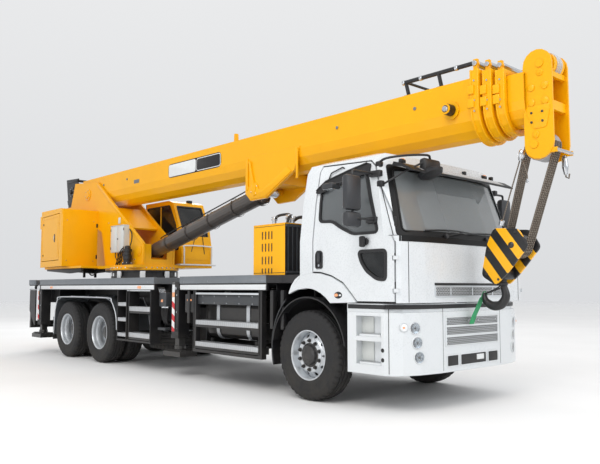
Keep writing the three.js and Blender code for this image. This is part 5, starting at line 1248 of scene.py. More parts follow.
def cabSides(sideName, s):
    extra, marker, lip, flare = Shape(), Shape(), Shape(), Shape()
    outline = cabValues["door"]
    ringSheet(extra, growOutline(outline, 0.0095), growOutline(outline, 0.0165), sidePlace(s), -0.018, 0.006)
    for z in (1.32, 1.62, 2.0):
        extra.box(1.336, 1.345, s * 1.2, s * 1.235, z - 0.05, z + 0.05, soft=0.003)
    piece("cabTrim_" + sideName, extra, "carrier", "trim_grey", "trimBlack", "amberLens", "clearLens")
    y, z = s * 1.246, 1.228
    marker.lathe([(0.058, -0.01), (0.062, 0.003), (0.048, 0.009), (0, 0.010)], (0.538, y, z), (0, s, 0), 28)
    marker.lathe([(0.03, 0.006), (0.027, 0.013), (0, 0.015)], (0.515, y, z), (0, s, 0), 24, 1)
    marker.lathe([(0.019, 0.006), (0.015, 0.012), (0, 0.013)], (0.572, y, z), (0, s, 0), 20, 2)
    for v in marker.mesh.verts:
        v.co.z = z + 0.62 * (v.co.z - z)  # an oval lamp
    piece("sideLamp_" + sideName, marker, "carrier", "trim_grey", "trimBlack", "amberLens", "clearLens")
    x, z = cabValues["arch"]
    lip.prism(arcPoints(x, z, 0.606, 8, 172, 28) + arcPoints(x, z, 0.622, 172, 8, 28), s * 1.12, s * 1.2475, soft=0)
    lip.prism(arcPoints(x, z, 0.602, 20, 165, 24) + arcPoints(x, z, 0.610, 165, 20, 24), s * 0.55, s * 1.15, soft=0)
    piece("archLip_" + sideName, lip, "carrier", "trim_grey", "trimBlack", angle=50)
    band = [(-0.05, 1.47), (-0.12, 1.452), (-0.19, 1.41), (-0.25, 1.345), (-0.29, 1.275), (-0.305, 1.235)]
    flare.prism(band + arcPoints(x, z, 0.722, 115, 96, 6), s * 1.20, s * 1.244, soft=0.006)
    piece("archFlare_" + sideName, flare, "carrier", "cab_white", "cabWhite", angle=50)


# Ribs of the back wall and the air intake pipe.
def cabBack():
    back = Shape()
    back.box(-0.205, -0.188, -0.9, 0.9, 1.45, 2.62)
    for y in (-0.6, -0.2, 0.2, 0.6):
        back.box(-0.212, -0.2, y - 0.05, y + 0.05, 1.55, 2.5, soft=0.006)
    back.hose([(-0.25, -0.7, 1.3), (-0.26, -0.7, 1.9), (-0.24, -0.7, 2.5), (-0.18, -0.7, 2.66)], 5, 0.045, 14, 1)
    clamp = [(0.045, -0.012), (0.054, -0.008), (0.054, 0.008), (0.045, 0.012)]
    for z in (1.5, 1.8, 2.1, 2.4):
        back.lathe(clamp, (-0.255, -0.7, z), (0, 0, 1), 20, 1, closed=True)
    piece("cabBack", back, "carrier", "cab_white", "cabWhite", "trimBlack")


# A crowned closed pad with two sewn channels.
def cushion(shape, centre, size, crown=0.18, lean=0.0):
    part = bmesh.new()
    bmesh.ops.create_cube(part, size=2)
    bmesh.ops.subdivide_edges(part, edges=part.edges[:], cuts=7, use_grid_fill=True)
    turn = Matrix.Rotation(lean, 3, "Y")
    for v in part.verts:
        length = sum(abs(c) ** 6 for c in v.co) ** (1 / 6)
        p = v.co / max(length, 1e-6) * max(abs(c) for c in v.co)
        p.z *= 1 + crown * (1 - min(1, p.x * p.x)) * (1 - min(1, p.y * p.y))
        p.z *= 1 - 0.05 * math.exp(-((abs(p.y) - 0.55) / 0.06) ** 2)
        v.co = Vector(centre) + turn @ Vector(a * b / 2 for a, b in zip(p, size))
    return shape.take(part)


def seatPieces(prefix, body, node, seats, extras):
    base, pads = Shape(), Shape()
    for x, y, floor, width in seats:
        cushion(pads, (x + 0.255, y, floor + 0.295), (0.53, width, 0.115))
        cushion(pads, (x + 0.03, y, floor + 0.60), (0.095, width - 0.02, 0.60), crown=0.0, lean=-0.11)
        cushion(pads, (x - 0.03, y, floor + 0.985), (0.07, 0.235, 0.19), crown=0.0, lean=-0.05)
        base.box(x + 0.1, x + 0.39, y - 0.13, y + 0.13, floor + 0.012, floor + 0.2, soft=0.02)
        for k in range(4):
            z = floor + 0.04 + 0.045 * k
            base.box(x + 0.09, x + 0.40, y - 0.14, y + 0.14, z, z + 0.02, soft=0.008)
        half = width / 2 - 0.03
        base.box(x + 0.02, x + 0.5, y - half, y + half, floor + 0.2, floor + 0.24, soft=0.01)
        for side in (y - 0.06, y + 0.06):
            base.tube([(x - 0.035, side, floor + 0.86), (x - 0.03, side, floor + 0.95)], 0.006)
    extras(base)
    piece(prefix + "Cushions", pads, body, "seat", "seatCloth", angle=60, replaces=(node,))
    piece(prefix + "Bases", base, body, "trim_grey", "cabinGrey")


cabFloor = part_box("cab_seats")[0].z
for sideName, s in sides.items():
    doorPieces(sideName, s)
    mirrorPieces(sideName, s)
    cabSides(sideName, s)
screenPieces()
visorPieces()
bumperPieces()
seamPieces()
cabBack()
seatPieces("cabSeat", "carrier", "cab_seats", [(0.18, -0.56, cabFloor, 0.5), (0.18, 0.56, cabFloor, 0.5)],
           lambda shape: shape.box(0.15, 0.6, -0.72, 0.72, cabFloor, cabFloor + 0.012, soft=0.002))
print("cab made")


turretValues = {"slew": -5.95, "plate": 0.33, "pivot": (-7.85, 3.3), "foot": (-5.6, 2.01), "eye": (-2.15, 2.81), "bolts": 40,
                "boltCircle": 0.641, "flangeZ": 1.688, "blocks": 8, "blockCircle": 0.622, "motor": (-5.82, -0.45, 1.742)}


flangeAngles = (0.3, 1.35, 2.4, 3.44, 4.49, 5.54)


def flangePlaces(centre, radius, across=(1, 0, 0), up=(0, 0, 1), turn=0.0):
    return [Vector(centre) + radius * (math.cos(a + turn) * Vector(across) + math.sin(a + turn) * Vector(up)) for a in flangeAngles]


def tailPlace(u, v, h):
    return Vector((u - 0.097 * h, -(0.95 + (u + 8.78) * 0.0977) - h, v))


def slewPieces():
    v = turretValues
    x, body = v["slew"], "superstructure"
    rim, blocks, motor = Shape(), Shape(), Shape()
    for k in range(v["bolts"]):
        a = 2 * math.pi * k / v["bolts"]
        out = Vector((math.cos(a), math.sin(a), 0))
        at = Vector((x, 0, v["flangeZ"])) + out * v["boltCircle"]
        rim.lathe([(0.014, -0.004), (0.014, 0.008), (0.010, 0.012)], at, out, 6)
    rim.lathe([(0.638, 0), (0.652, 0.002), (0.655, 0.012), (0.652, 0.022), (0.638, 0.024)], (x, 0, 1.646), (0, 0, 1), 72, 1,
              closed=True)
    piece("slewFlangeBolts", rim, body, "galvanised", "brightSteel", "craneYellow")
    for k in range(v["blocks"]):
        turn = Matrix.Rotation(math.radians(12) + 2 * math.pi * k / v["blocks"], 3, "Z")
        at = Vector((x, 0, 0)) + turn @ Vector((v["blockCircle"], 0, 0))
        blocks.box(at.x - 0.018, at.x + 0.018, at.y - 0.05, at.y + 0.05, 1.495, 1.625, soft=0.008, turn=turn)
    blocks.lathe([(0.60, 0.0), (0.634, 0.0), (0.634, 0.02), (0.60, 0.02)], (x, 0, 1.615), (0, 0, 1), 72, 1, closed=True)
    piece("slewRingBlocks", blocks, "carrier", "panel_grey", "stripeWhite", "frameBlack")
    mx, my, mz = v["motor"]
    profile = [(0.10, 0), (0.10, 0.03), (0.075, 0.035), (0.075, 0.09), (0.088, 0.1), (0.088, 0.17), (0.07, 0.18),
               (0.07, 0.25), (0.082, 0.255), (0.082, 0.30), (0.06, 0.31), (0.06, 0.35), (0.03, 0.37)]
    motor.lathe(profile, (mx, my, mz), (0, 0, 1), 28)
    motor.box(-5.93, -5.86, -0.50, -0.40, 1.86, 1.98, soft=0.01)
    for a in (0.4, 1.4, 2.5, 3.5, 4.6, 5.6):
        motor.bolts([(mx + 0.088 * math.cos(a), my + 0.088 * math.sin(a), mz + 0.03)], (0, 0, 1), 0.009, slot=1)
    for k, y in enumerate((-0.41, -0.45, -0.49)):
        motor.hose([(-5.895, y, 1.97), (-5.90, y - 0.02, 2.02 + 0.02 * k), (-6.02, y - 0.03, 2.0 - 0.02 * k),
                    (-6.14, y, 1.88 - 0.02 * k), (-6.22, y + 0.01, 1.76)], 6, 0.012, 10, 2)
    motor.hose([(-5.78, -0.42, 2.10), (-5.76, -0.40, 2.22), (-5.84, -0.36, 2.36), (-5.95, -0.345, 2.44)], 6, 0.011, 10, 2)
    piece("slewMotor", motor, body, "frame_black", "frameBlack", "brightSteel", "hoseBlack")


def turretPieces():
    v = turretValues
    x, body = v["slew"], "superstructure"
    box, ribs, under = Shape(), Shape(), Shape()
    for x0, x1 in ((-6.502, -6.251), (-6.244, -5.988)):
        box.box(x0, x1, -0.457, -0.449, 2.012, 2.508)
    box.box(-6.515, -5.975, -0.466, -0.328, 2.518, 2.528)
    box.lathe([(0.016, 0), (0.014, 0.008), (0, 0.009)], (-6.215, -0.457, 2.26), (0, -1, 0), 16, 1)
    for z in (2.08, 2.44):
        for x0 in (-6.508, -5.99):
            box.box(x0, x0 + 0.02, -0.462, -0.452, z - 0.025, z + 0.025, soft=0.003, slot=1)
    box.box(-6.44, -6.35, -0.340, -0.329, 2.58, 2.70, soft=0.003)
    for cx in (-6.42, -6.32, -6.22):
        box.hose([(cx, -0.39, 2.005), (cx, -0.39, 1.93), (cx + 0.02, -0.37, 1.85), (cx + 0.03, -0.36, 1.75)], 5, 0.009, 8, 2)
    piece("electricalDoors", box, body, "panel_grey", "panelGrey", "trimBlack", "hoseBlack")
    for s in (1, -1):
        out = s * v["plate"]
        ribs.prism([(x + 0.53, 2.15), (x - 1.44, 3.515), (x - 1.475, 3.457), (x + 0.48, 2.10)], out, out + s * 0.012)
        ribs.box(x + 0.48, x + 0.53, out, out + s * 0.012, 1.745, 2.12, soft=0.003)
        px, pz = v["pivot"]
        ribs.lathe([(0.13, 0), (0.13, 0.012), (0.075, 0.014), (0.07, 0.03), (0, 0.032)], (px, out, pz), (0, s, 0))
        ribs.bolts(flangePlaces((px, out + s * 0.012, pz), 0.1), (0, s, 0), 0.011, 0.01, 1)
        foot = (v["foot"][0], out, v["foot"][1])
        ribs.lathe([(0.1, 0), (0.1, 0.012), (0.062, 0.014), (0.06, 0.024), (0, 0.026)], foot, (0, s, 0), 28)
        ribs.bolts([(x - 0.9, out, 2.62), (x - 0.5, out, 2.25), (x + 0.2, out, 1.85), (x - 1.9, out, 3.3)], (0, s, 0), 0.014, 0.01, 1)
    piece("turretRibs", ribs, body, "crane_yellow", "craneYellow", "brightSteel")
    under.box(-7.32, -7.29, -0.62, -0.36, 1.62, 1.70, soft=0.006)
    for y in (-0.62, -0.38):
        under.box(-7.33, -7.28, y - 0.02, y + 0.02, 1.52, 1.70, soft=0.006)
    under.hose([(-7.1, -0.42, 1.69), (-7.15, -0.44, 1.60), (-7.3, -0.47, 1.57), (-7.5, -0.45, 1.66)], 5, 0.014)
    for y in (-0.40, -0.88, 0.40, 0.88):
        shelf = [(-8.55, 1.70), (-6.85, 1.70), (-6.85, 1.62), (-7.4, 1.60), (-8.55, 1.665)]
        under.prism(shelf, y - 0.012, y + 0.012, soft=0.002)
    piece("shelfBrackets", under, body, "frame_black", "frameBlack")


def tailPieces():
    body = "superstructure"
    trim, latch, weight = Shape(), Shape(), Shape()
    trim.prism([(-7.352, 2.80), (-7.352, 2.885), (-7.446, 2.918), (-7.446, 2.80)], -1.0805, -1.084, soft=0.001)
    for z in (1.95, 2.6):
        trim.box(-7.353, -7.342, -0.365, -0.333, z - 0.04, z + 0.04, slot=1)
    trim.box(-9.232, -9.20, -0.78, -0.50, 2.66, 2.86)
    trim.bolts([(-7.349, y, z) for y in (-0.42, -0.99) for z in (1.86, 2.68)], (1, 0, 0), 0.01, 0.008, 2)
    piece("tailTrim", trim, body, "crane_yellow", "craneYellow", "trimBlack", "brightSteel")
    sheet(latch, plateOutline(-7.86, -7.80, 2.25, 2.42, 0.025, 3), tailPlace, 0.004, 0.012)
    latch.box(-7.842, -7.818, -1.065, -1.04, 2.29, 2.38, soft=0.006, slot=1)
    for z in (2.0, 2.66):
        latch.lathe([(0.022, -0.004), (0.02, 0.008), (0.008, 0.010)], tailPlace(-8.60, z, 0), (-0.097, -1, 0), 20)
    ring = plateOutline(-8.66, -7.64, 1.94, 2.76, 0.04, 3)
    ringSheet(latch, ring, growOutline(ring, 0.012), tailPlace, 0.003, 0.006, slot=2)
    piece("tailLatch", latch, "tail_cabinet_door", "trim_grey", "trimBlack", "brightSteel", "craneYellow")
    for z in (2.15, 2.55):
        weight.tube([(-8.70, 0.957, z), (-7.46, 1.0805, z), (-6.91, 1.0825, z)], 0.004, 6, 1)
    for wx in (-8.5, -7.2):
        eye = ((-0.06, 2.93), (-0.06, 2.965), (-0.03, 2.985), (0.03, 2.985), (0.06, 2.965), (0.06, 2.90))
        weight.tube([(wx + a, 0.62, b) for a, b in eye], 0.012, 10, 2)
    weight.bolts([(-8.783, y, z) for y in (0.42, 0.86) for z in (1.9, 2.35, 2.8)], (-1, 0, 0), 0.022, 0.018, 2)
    weight.box(-8.79, -8.778, 0.5, 0.8, 2.0, 2.25, soft=0.003, slot=3)
    piece("counterweightTrim", weight, body, "crane_yellow", "craneYellow", "trimBlack", "brightSteel", "roadTape")


winchValues = {"axis": (-8.88, 3.48), "half": 0.205, "turns": 20, "pitch": 0.0205, "core": 0.211, "rope": 0.2215}


def winchPieces():
    v = winchValues
    x, z = v["axis"]
    drum, fitting = Shape(), Shape()
    windings = [(0.0, -v["half"])]
    for k in range(v["turns"]):
        y = 0.01 - v["half"] + v["pitch"] * k
        windings += [(v["core"], y - 0.010), (v["rope"] - 0.003, y - 0.006), (v["rope"], y), (v["rope"] - 0.003, y + 0.006)]
    drum.lathe(windings + [(v["core"], v["half"] + 0.002)], (x, 0, z), (0, 1, 0), 48)
    piece("winchRope", drum, "superstructure", "dark_steel", "steelRope", angle=70)
    for s in (1, -1):
        fitting.lathe([(0.12, 0), (0.12, 0.01), (0.05, 0.02), (0.045, 0.05), (0, 0.052)], (x, s * 0.24, z), (0, s, 0), 28)
        fitting.bolts(flangePlaces((x, s * 0.25, z), 0.1), (0, s, 0), 0.01, 0.01, 1)
        fitting.prism([(-9.06, 3.20), (-8.72, 3.20), (-8.64, 3.30), (-9.10, 3.30)], s * 0.24, s * 0.252)
        fitting.prism([(-9.15, 3.70), (-8.60, 3.69), (-8.59, 3.73), (-9.155, 3.74)], s * 0.24, s * 0.25)
    for y in (-0.12, 0.0, 0.12):
        fitting.hose([(-8.60, y, 3.25), (-8.50, y, 3.22), (-8.42, y * 1.2, 3.13), (-8.40, y * 1.4, 3.04)], 5, 0.014, 8, 2)
    fitting.tube([(-8.66, -0.23, 3.72), (-8.66, 0.23, 3.72)], 0.03, 14)
    piece("winchFittings", fitting, "superstructure", "frame_black", "frameBlack", "brightSteel", "hoseBlack")


operatorValues = {
    "rear": -6.8, "inner": 0.48, "outer": 1.2, "roof": 3.06, "front": [(1.75, 1.38), (1.96, 1.42), (2.52, 1.30), (3.01, 1.06)],
    "side": [(0.06, 2.06), (0.06, 2.96), (0.95, 2.96), (1.19, 2.54), (1.30, 2.06)],
    "quarter": [(0.83, 2.06), (0.83, 2.94), (0.93, 2.94), (1.17, 2.54), (1.29, 2.06)],
    "doorWindow": [(0.12, 2.08), (0.12, 2.94), (0.71, 2.94), (0.71, 2.08)],
}


def operatorPieces():
    v = operatorValues
    r, inner, outer = v["rear"], v["inner"], v["outer"]
    body = "superstructure"
    panes, frames, rails = Shape(), Shape(), Shape()

    def noseAt(a, b, h):
        return Vector((r + stepValue(v["front"], b) + h, a, b))

    def outerAt(a, b, h):
        return Vector((r + a, outer + h, b))

    windows = ((roundedOutline(v["side"], 0.05), lambda a, b, h: Vector((r + a, inner - h, b)), ()),
               (roundedOutline(v["quarter"], 0.04), outerAt, ()), (plateOutline(0.55, 1.13, 1.88, 2.94, 0.03), noseAt, (1.96, 2.52)),
               (plateOutline(0.25, 0.85, 0.60, 1.08, 0.03), lambda a, b, h: Vector((r + a, b, v["roof"] + h)), ()))
    for outline, place, cuts in windows:
        sheet(panes, growOutline(outline, 0.004), place, -0.012, 0.005, cutsV=cuts)
        ringSheet(frames, growOutline(outline, -0.016), growOutline(outline, 0.012), place, 0.004, 0.014)
    sheet(frames, plateOutline(0.525, 1.155, 1.855, 2.33, 0.02), noseAt, 0.006, 0.016, cutsV=(1.96,), slot=1)
    frames.tube([(r + 0.62, inner - 0.002, 2.07), (r + 0.62, inner - 0.002, 2.95)], 0.014, 8, 1)
    frames.tube([noseAt(1.0, z, 0.012) for z in (1.98, 2.25, 2.5)], 0.007)
    frames.tube([(r + 1.415, 0.7, 2.02), noseAt(0.86, 2.40, 0.012)], 0.006)
    piece("operatorGlass", panes, body, "glass", "darkGlass")
    f = r + 1.47
    rails.hose([(r + 0.95, inner - 0.05, 1.76), (f - 0.04, inner - 0.05, 1.76), (f, inner, 1.76), (f, outer - 0.03, 1.76),
                (f - 0.04, outer + 0.02, 1.76), (r + 1.0, outer + 0.02, 1.76)], 3, 0.016, 10)
    rails.hose([(f, inner + 0.02, 1.76), (f + 0.004, inner + 0.02, 2.06), (f - 0.01, inner + 0.05, 2.13),
                (f - 0.012, outer - 0.1, 2.13), (f + 0.004, outer - 0.06, 2.06), (f, outer - 0.06, 1.76)], 3, 0.014, 10)
    rails.tube([(r + 0.98, inner - 0.05, 1.76), (r + 1.0, inner - 0.045, 2.1), (r + 1.05, inner - 0.03, 2.3)], 0.012, 10)
    for y in (0.62, 0.84, 1.06):
        rails.tube([(r + 1.36, y, 1.75), (f, y, 1.758)], 0.011)
    piece("operatorRails", rails, body, "panel_grey", "stripeWhite")
    frames.box(r + 0.88, r + 0.97, 0.9, 1.0, 3.035, 3.10, soft=0.01)
    frames.tube([(r + 0.02, inner - 0.004, 1.76), (r + 0.02, inner - 0.004, 3.05)], 0.006, 6)
    piece("operatorFrames", frames, body, "trim_grey", "trimBlack", "craneYellow")


def operatorDoor():
    v = operatorValues
    x, outer, body = v["rear"] + 0.74, v["outer"], "operator_cab_door"
    pane, trim = Shape(), Shape()
    window = roundedOutline([(v["rear"] + a, b) for a, b in v["doorWindow"]], 0.05)

    def place(a, b, h):
        return Vector((a, outer + h, b))

    sheet(pane, growOutline(window, 0.003), place, -0.014, 0.005)
    ringSheet(trim, growOutline(window, -0.014), growOutline(window, 0.014), place, 0.004, 0.012)
    trim.box(x - 0.12, x - 0.01, outer - 0.002, outer + 0.016, 1.93, 2.0, soft=0.008)
    trim.tube([(x, outer, 2.1), (x, outer + 0.04, 2.12), (x, outer + 0.04, 2.6), (x, outer, 2.62)], 0.01)
    piece("operatorDoorGlass", pane, body, "glass", "darkGlass")
    piece("operatorDoorTrim", trim, body, "trim_grey", "trimBlack")


def console(shape):
    v = operatorValues
    r, mid, floor = v["rear"], (v["inner"] + v["outer"]) / 2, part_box("operator_seat")[0].z
    shape.box(r + 0.15, r + 1.06, mid - 0.2, mid + 0.2, floor, floor + 0.012, soft=0.002)
    shape.box(r + 0.96, r + 1.06, mid - 0.2, mid + 0.2, floor + 0.012, floor + 0.75, soft=0.02)
    for y in (mid - 0.12, mid + 0.12):
        shape.tube([(r + 0.97, y, floor + 0.74), (r + 0.92, y, floor + 0.86)], 0.008)
        shape.disc((r + 0.92, y, floor + 0.85), (-0.4, 0, 1), 0.022, 0.04, 16)
    for s in (-1, 1):
        shape.box(r + 0.35, r + 0.75, mid + s * 0.25, mid + s * 0.31, floor + 0.45, floor + 0.50, soft=0.015)
        shape.tube([(r + 0.70, mid + s * 0.28, floor + 0.50), (r + 0.72, mid + s * 0.28, floor + 0.62)], 0.009)
        shape.box(r + 0.40, r + 0.47, mid + s * 0.21, mid + s * 0.26, floor + 0.22, floor + 0.47, soft=0.01)


def cylinderPieces():
    v = turretValues
    foot, eye = Vector((v["foot"][0], 0, v["foot"][1])), Vector((v["eye"][0], 0, v["eye"][1]))
    along = (eye - foot).normalized()
    up = Vector((-along.z, 0, along.x))
    trim = Shape()
    route = [(0.35, 0.155), (0.5, 0.168), (1.2, 0.168), (2.0, 0.168), (2.8, 0.168), (3.1, 0.168), (3.2, 0.15)]
    for y in (-0.045, 0.045):
        trim.hose([foot + along * d + up * h + Vector((0, y, 0)) for d, h in route], 3, 0.011)
    clamp = [(0.1515, -0.012), (0.158, -0.01), (0.158, 0.01), (0.1515, 0.012)]
    for d in (0.6, 1.3, 2.0, 2.7):
        trim.lathe(clamp, foot + along * d, along, 36, 1, closed=True)
    trim.lathe([(0.166, 0), (0.172, 0.006), (0.172, 0.045), (0.166, 0.05)], foot + along * 3.3, along, 36, 1, closed=True)
    trim.bolts(flangePlaces(foot + along * 3.378, 0.13, up, (0, 1, 0), 0.2), along, 0.011, 0.012, 2)
    piece("cylinderLines", trim, "lift_cylinder", "dark_steel", "hoseBlack", "cylinderGrey", "brightSteel")


slewPieces()
turretPieces()
tailPieces()
winchPieces()
operatorPieces()
operatorDoor()
operatorMiddle = (operatorValues["inner"] + operatorValues["outer"]) / 2
seatPieces("operatorSeat", "superstructure", "operator_seat",
           [(operatorValues["rear"] + 0.25, operatorMiddle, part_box("operator_seat")[0].z, 0.46)], console)
cylinderPieces()
print("superstructure made")


deckValues = {"edge": 1.25, "top": 1.47, "bottom": 1.37, "right": {"front": -2.91, "rear": -8.109},
              "left": {"front": -3.245, "rear": -7.774}, "ladder": -4.65, "stepFrom": -2.36, "stepTo": -0.81, "jack": 1.1}


def gaps(x0, x1, holes):
    spans, at = [], x0
    for low, high in sorted(holes):
        if low > at:
            spans.append((at, low))
        at = max(at, high)
    if at < x1:
        spans.append((at, x1))
    return spans


def deckPieces(sideName, s):
    v = deckValues
    e = s * v["edge"]
    notch = [(v[sideName]["rear"] - 0.165, v[sideName]["rear"] + 0.165)]
    rim, tape, dots = Shape(), Shape(), Shape()
    runs = gaps(-8.575, -3.445, notch) + [(-2.71, -0.72)]
    for x0, x1 in runs:
        rim.box(x0, x1, e - s * 0.004, e + s * 0.004, v["bottom"] + 0.012, v["top"] - 0.002, soft=0.002)
        rim.box(x0, x1, e - s * 0.05, e + s * 0.0055, v["top"] - 0.004, v["top"] + 0.004, soft=0.002)
        tape.box(x0 + 0.01, x1 - 0.01, e - s * 0.012, e + s * 0.001, 1.284, 1.352)
        tape.box(x0 + 0.01, x1 - 0.01, e - s * 0.012, e + s * 0.004, 1.312, 1.322, soft=0.002)
        count = int((x1 - x0 - 0.15) / 0.6) + 1
        rim.bolts([(x0 + 0.12 + k * 0.6, e + s * 0.003, 1.40) for k in range(count)], (0, s, 0), 0.009, 0.006, 1)
    piece("deckRim_" + sideName, rim, "carrier", "chequer_plate", "galvanised", "brightSteel")
    piece("deckStripe_" + sideName, tape, "carrier", "galvanised", "stripeWhite")
    for x in (-7.4, -3.9):
        dots.box(x - 0.055, x + 0.055, e - s * 0.006, e + s * 0.012, 1.296, 1.34, soft=0.008)
    piece("sideMarkers_" + sideName, dots, "carrier", "trim_grey", "amberLens")


def treadFace(shape, x0, x1, y0, y1, z0, z1, s):
    shape.box(x0, x1, y1 - s * 0.004, y1 + s * 0.005, z0, z1, soft=0.003)
    shape.box(x0, x1, y0, y1 + s * 0.005, z1 - 0.002, z1 + 0.008, soft=0.003)
    for k in range(int((x1 - x0) / 0.045)):
        x = x0 + 0.03 + k * 0.045
        if x < x1 - 0.02:
            shape.lathe([(0.012, 0), (0.012, 0.003), (0.007, 0.005), (0.005, 0.001), (0.006, 0)],
                        (x, (y0 + y1) / 2, z1 + 0.007), (0, 0, 1), 10, closed=True)


def stepPieces(sideName, s):
    v = deckValues
    e = v["edge"]
    treads = Shape()
    x = v["ladder"]
    for z in (0.55, 0.80, 1.05):
        treadFace(treads, x + 0.03, x + 0.31, s * (e - 0.19), s * (e - 0.01), z - 0.04, z + 0.01, s)
    for z in (0.56, 0.98):
        treadFace(treads, x + 0.42, x + 1.08, s * (e - 0.19), s * (e - 0.01), z - 0.045, z + 0.02, s)
    for z in (0.82, 0.52):
        treadFace(treads, v["stepFrom"] + 0.07, v["stepTo"] - 0.07, s * (e - 0.18), s * (e - 0.01), z - 0.025, z + 0.03, s)
    treads.box(v["stepFrom"] + 0.06, v["stepTo"] - 0.06, s * (e - 0.02), s * (e - 0.006), 1.217, 1.243, slot=1)
    treads.box(x + 0.32, x + 1.08, s * (e - 0.02), s * (e - 0.008), 1.255, 1.275, soft=0.003, slot=1)
    piece("stepTreads_" + sideName, treads, "carrier", "galvanised", "treadStep", "rimSilver")
    panel = Shape()
    panel.box(v["stepFrom"] + 0.065, v["stepTo"] - 0.065, s * (e - 0.044), s * (e - 0.040), 1.082, 1.212, soft=0.002)
    for k in range(5):
        px = v["stepFrom"] + 0.2 + k * 0.28
        panel.bolts([(px, s * (e - 0.04), z) for z in (1.10, 1.195)], (0, s, 0), 0.009, 0.006, 1)
    piece("sidePanel_" + sideName, panel, "carrier", "panel_grey", "panelDark", "brightSteel")
    frames = Shape()
    for px in (x, x + 0.31, x + 0.39, x + 1.08, v["stepFrom"], v["stepTo"] - 0.07):
        frames.tube([(px + 0.015, s * (e - 0.008), 0.46), (px + 0.015, s * (e - 0.008), 1.27)], 0.008)
    for px in (v["stepFrom"] - 0.16, v["stepTo"] + 0.16, v["stepTo"] + 0.36):
        frames.box(px - 0.03, px + 0.03, s * (e - 0.10), s * (e - 0.03), 0.80, 1.28, soft=0.01)
    frames.box(v["stepFrom"] - 0.28, v["stepFrom"] - 0.06, s * (e - 0.16), s * (e - 0.05), 0.95, 1.22, soft=0.012)
    frames.bolts([(v["stepFrom"] - 0.17, s * (e - 0.05), z) for z in (1.0, 1.1, 1.18)], (0, s, 0), 0.016, 0.012, 1)
    frames.box(v["stepFrom"] - 0.22, v["stepFrom"] - 0.10, s * (e - 0.052), s * (e - 0.044), 1.12, 1.145, soft=0.003, slot=2)
    piece("sideFrames_" + sideName, frames, "carrier", "frame_black", "frameBlack", "brightSteel", "amberLens")


def outriggerPieces(sideName, s):
    v = deckValues
    for end in ("front", "rear"):
        x = v[sideName][end]
        beam = end + "_outrigger_beam_" + sideName
        face = s * (v["jack"] + 0.095)
        warn = Shape()
        for slot, (z0, z1, out) in enumerate(((0.66, 1.17, 0.004), (1.172, 1.24, 0.0045), (1.242, 1.385, 0.004))):
            warn.box(x - 0.088, x - 0.018, face - s * 0.004, face + s * out, z0, z1, soft=0.002, slot=slot)
        piece(end + "OutriggerTape_" + sideName, warn, beam, "panel_grey", "roadTape", "amberLens", "stripeWhite")
        body = Shape()
        for z in (0.575, 0.60, 1.37):
            body.box(x - 0.102, x + 0.102, s * (v["jack"] - 0.102), s * (v["jack"] + 0.102), z - 0.012, z + 0.012)
        body.bolts([(x + 0.05, face, z) for z in (0.7, 0.95, 1.2)], (0, s, 0), 0.014, 0.012, 1)
        body.lathe([(0.026, 0), (0.026, 0.03), (0, 0.032)], (x + 0.05, face, 1.30), (0, s, 0), 12, 1)
        body.hose([(x + 0.05, face + s * 0.02, 1.30), (x + 0.052, face + s * 0.035, 1.22), (x + 0.05, face + s * 0.03, 0.9),
                   (x + 0.055, face + s * 0.018, 0.66)], 5, 0.009, 8, 2)
        piece(end + "OutriggerPost_" + sideName, body, beam, "frame_black", "frameBlack", "brightSteel", "hoseBlack")
        foot = Shape()
        jy = s * v["jack"]
        foot.lathe([(0.075, 0.0), (0.075, 0.04), (0.068, 0.046)], (x, jy, 0.398), (0, 0, 1), 28, 1)
        for dx in (-0.15, 0.15):
            rib = [(jy - 0.12, 0.368), (jy + 0.12, 0.368), (jy + 0.07, 0.40), (jy - 0.07, 0.40)]
            foot.prism(rib, x + dx - 0.006, x + dx + 0.006, plane="yz", soft=0.001)
        foot.bolts([(x + a, jy + b, 0.368) for a in (-0.2, 0.2) for b in (-0.11, 0.11)], (0, 0, 1), 0.014, 0.014, 1)
        for dx in (-0.225, 0.225):
            foot.tube([(x + dx, jy - 0.06, 0.35), (x + dx * 1.02, jy - 0.05, 0.39), (x + dx * 1.02, jy + 0.05, 0.39),
                       (x + dx, jy + 0.06, 0.35)], 0.008)
        piece(end + "OutriggerFoot_" + sideName, foot, end + "_outrigger_jack_" + sideName,
              "dark_steel", "darkSteel", "brightSteel")


def valvePieces():
    valves = Shape()
    valves.box(-3.42, -3.22, -1.17, -1.04, 1.02, 1.24, soft=0.01)
    valves.box(-3.42, -3.20, -1.19, -1.03, 0.66, 0.70, soft=0.006)
    for k in range(5):
        x = -3.40 + 0.04 * k
        valves.tube([(x, -1.16, 1.22), (x, -1.19, 1.30)], 0.006, 8, 1)
        valves.disc((x, -1.188, 1.295), (0, -0.4, 1), 0.012, 0.024, 12, 2)
        valves.hose([(x, -1.12, 1.02), (x - 0.005, -1.13, 0.92), (x + 0.02, -1.10 - 0.01 * k, 0.78),
                     (x + 0.01, -1.05, 0.70)], 5, 0.010, 8, 3)
        valves.lathe([(0.014, 0), (0.014, 0.02)], (x, -1.12, 1.0), (0, 0, 1), 6, 1)
    valves.box(-3.35, -3.30, -1.18, -1.168, 1.09, 1.13, slot=4)
    piece("valveBlock", valves, "carrier", "frame_black", "panelDark", "brightSteel", "trimBlack",
          "hoseBlack", "amberLens")


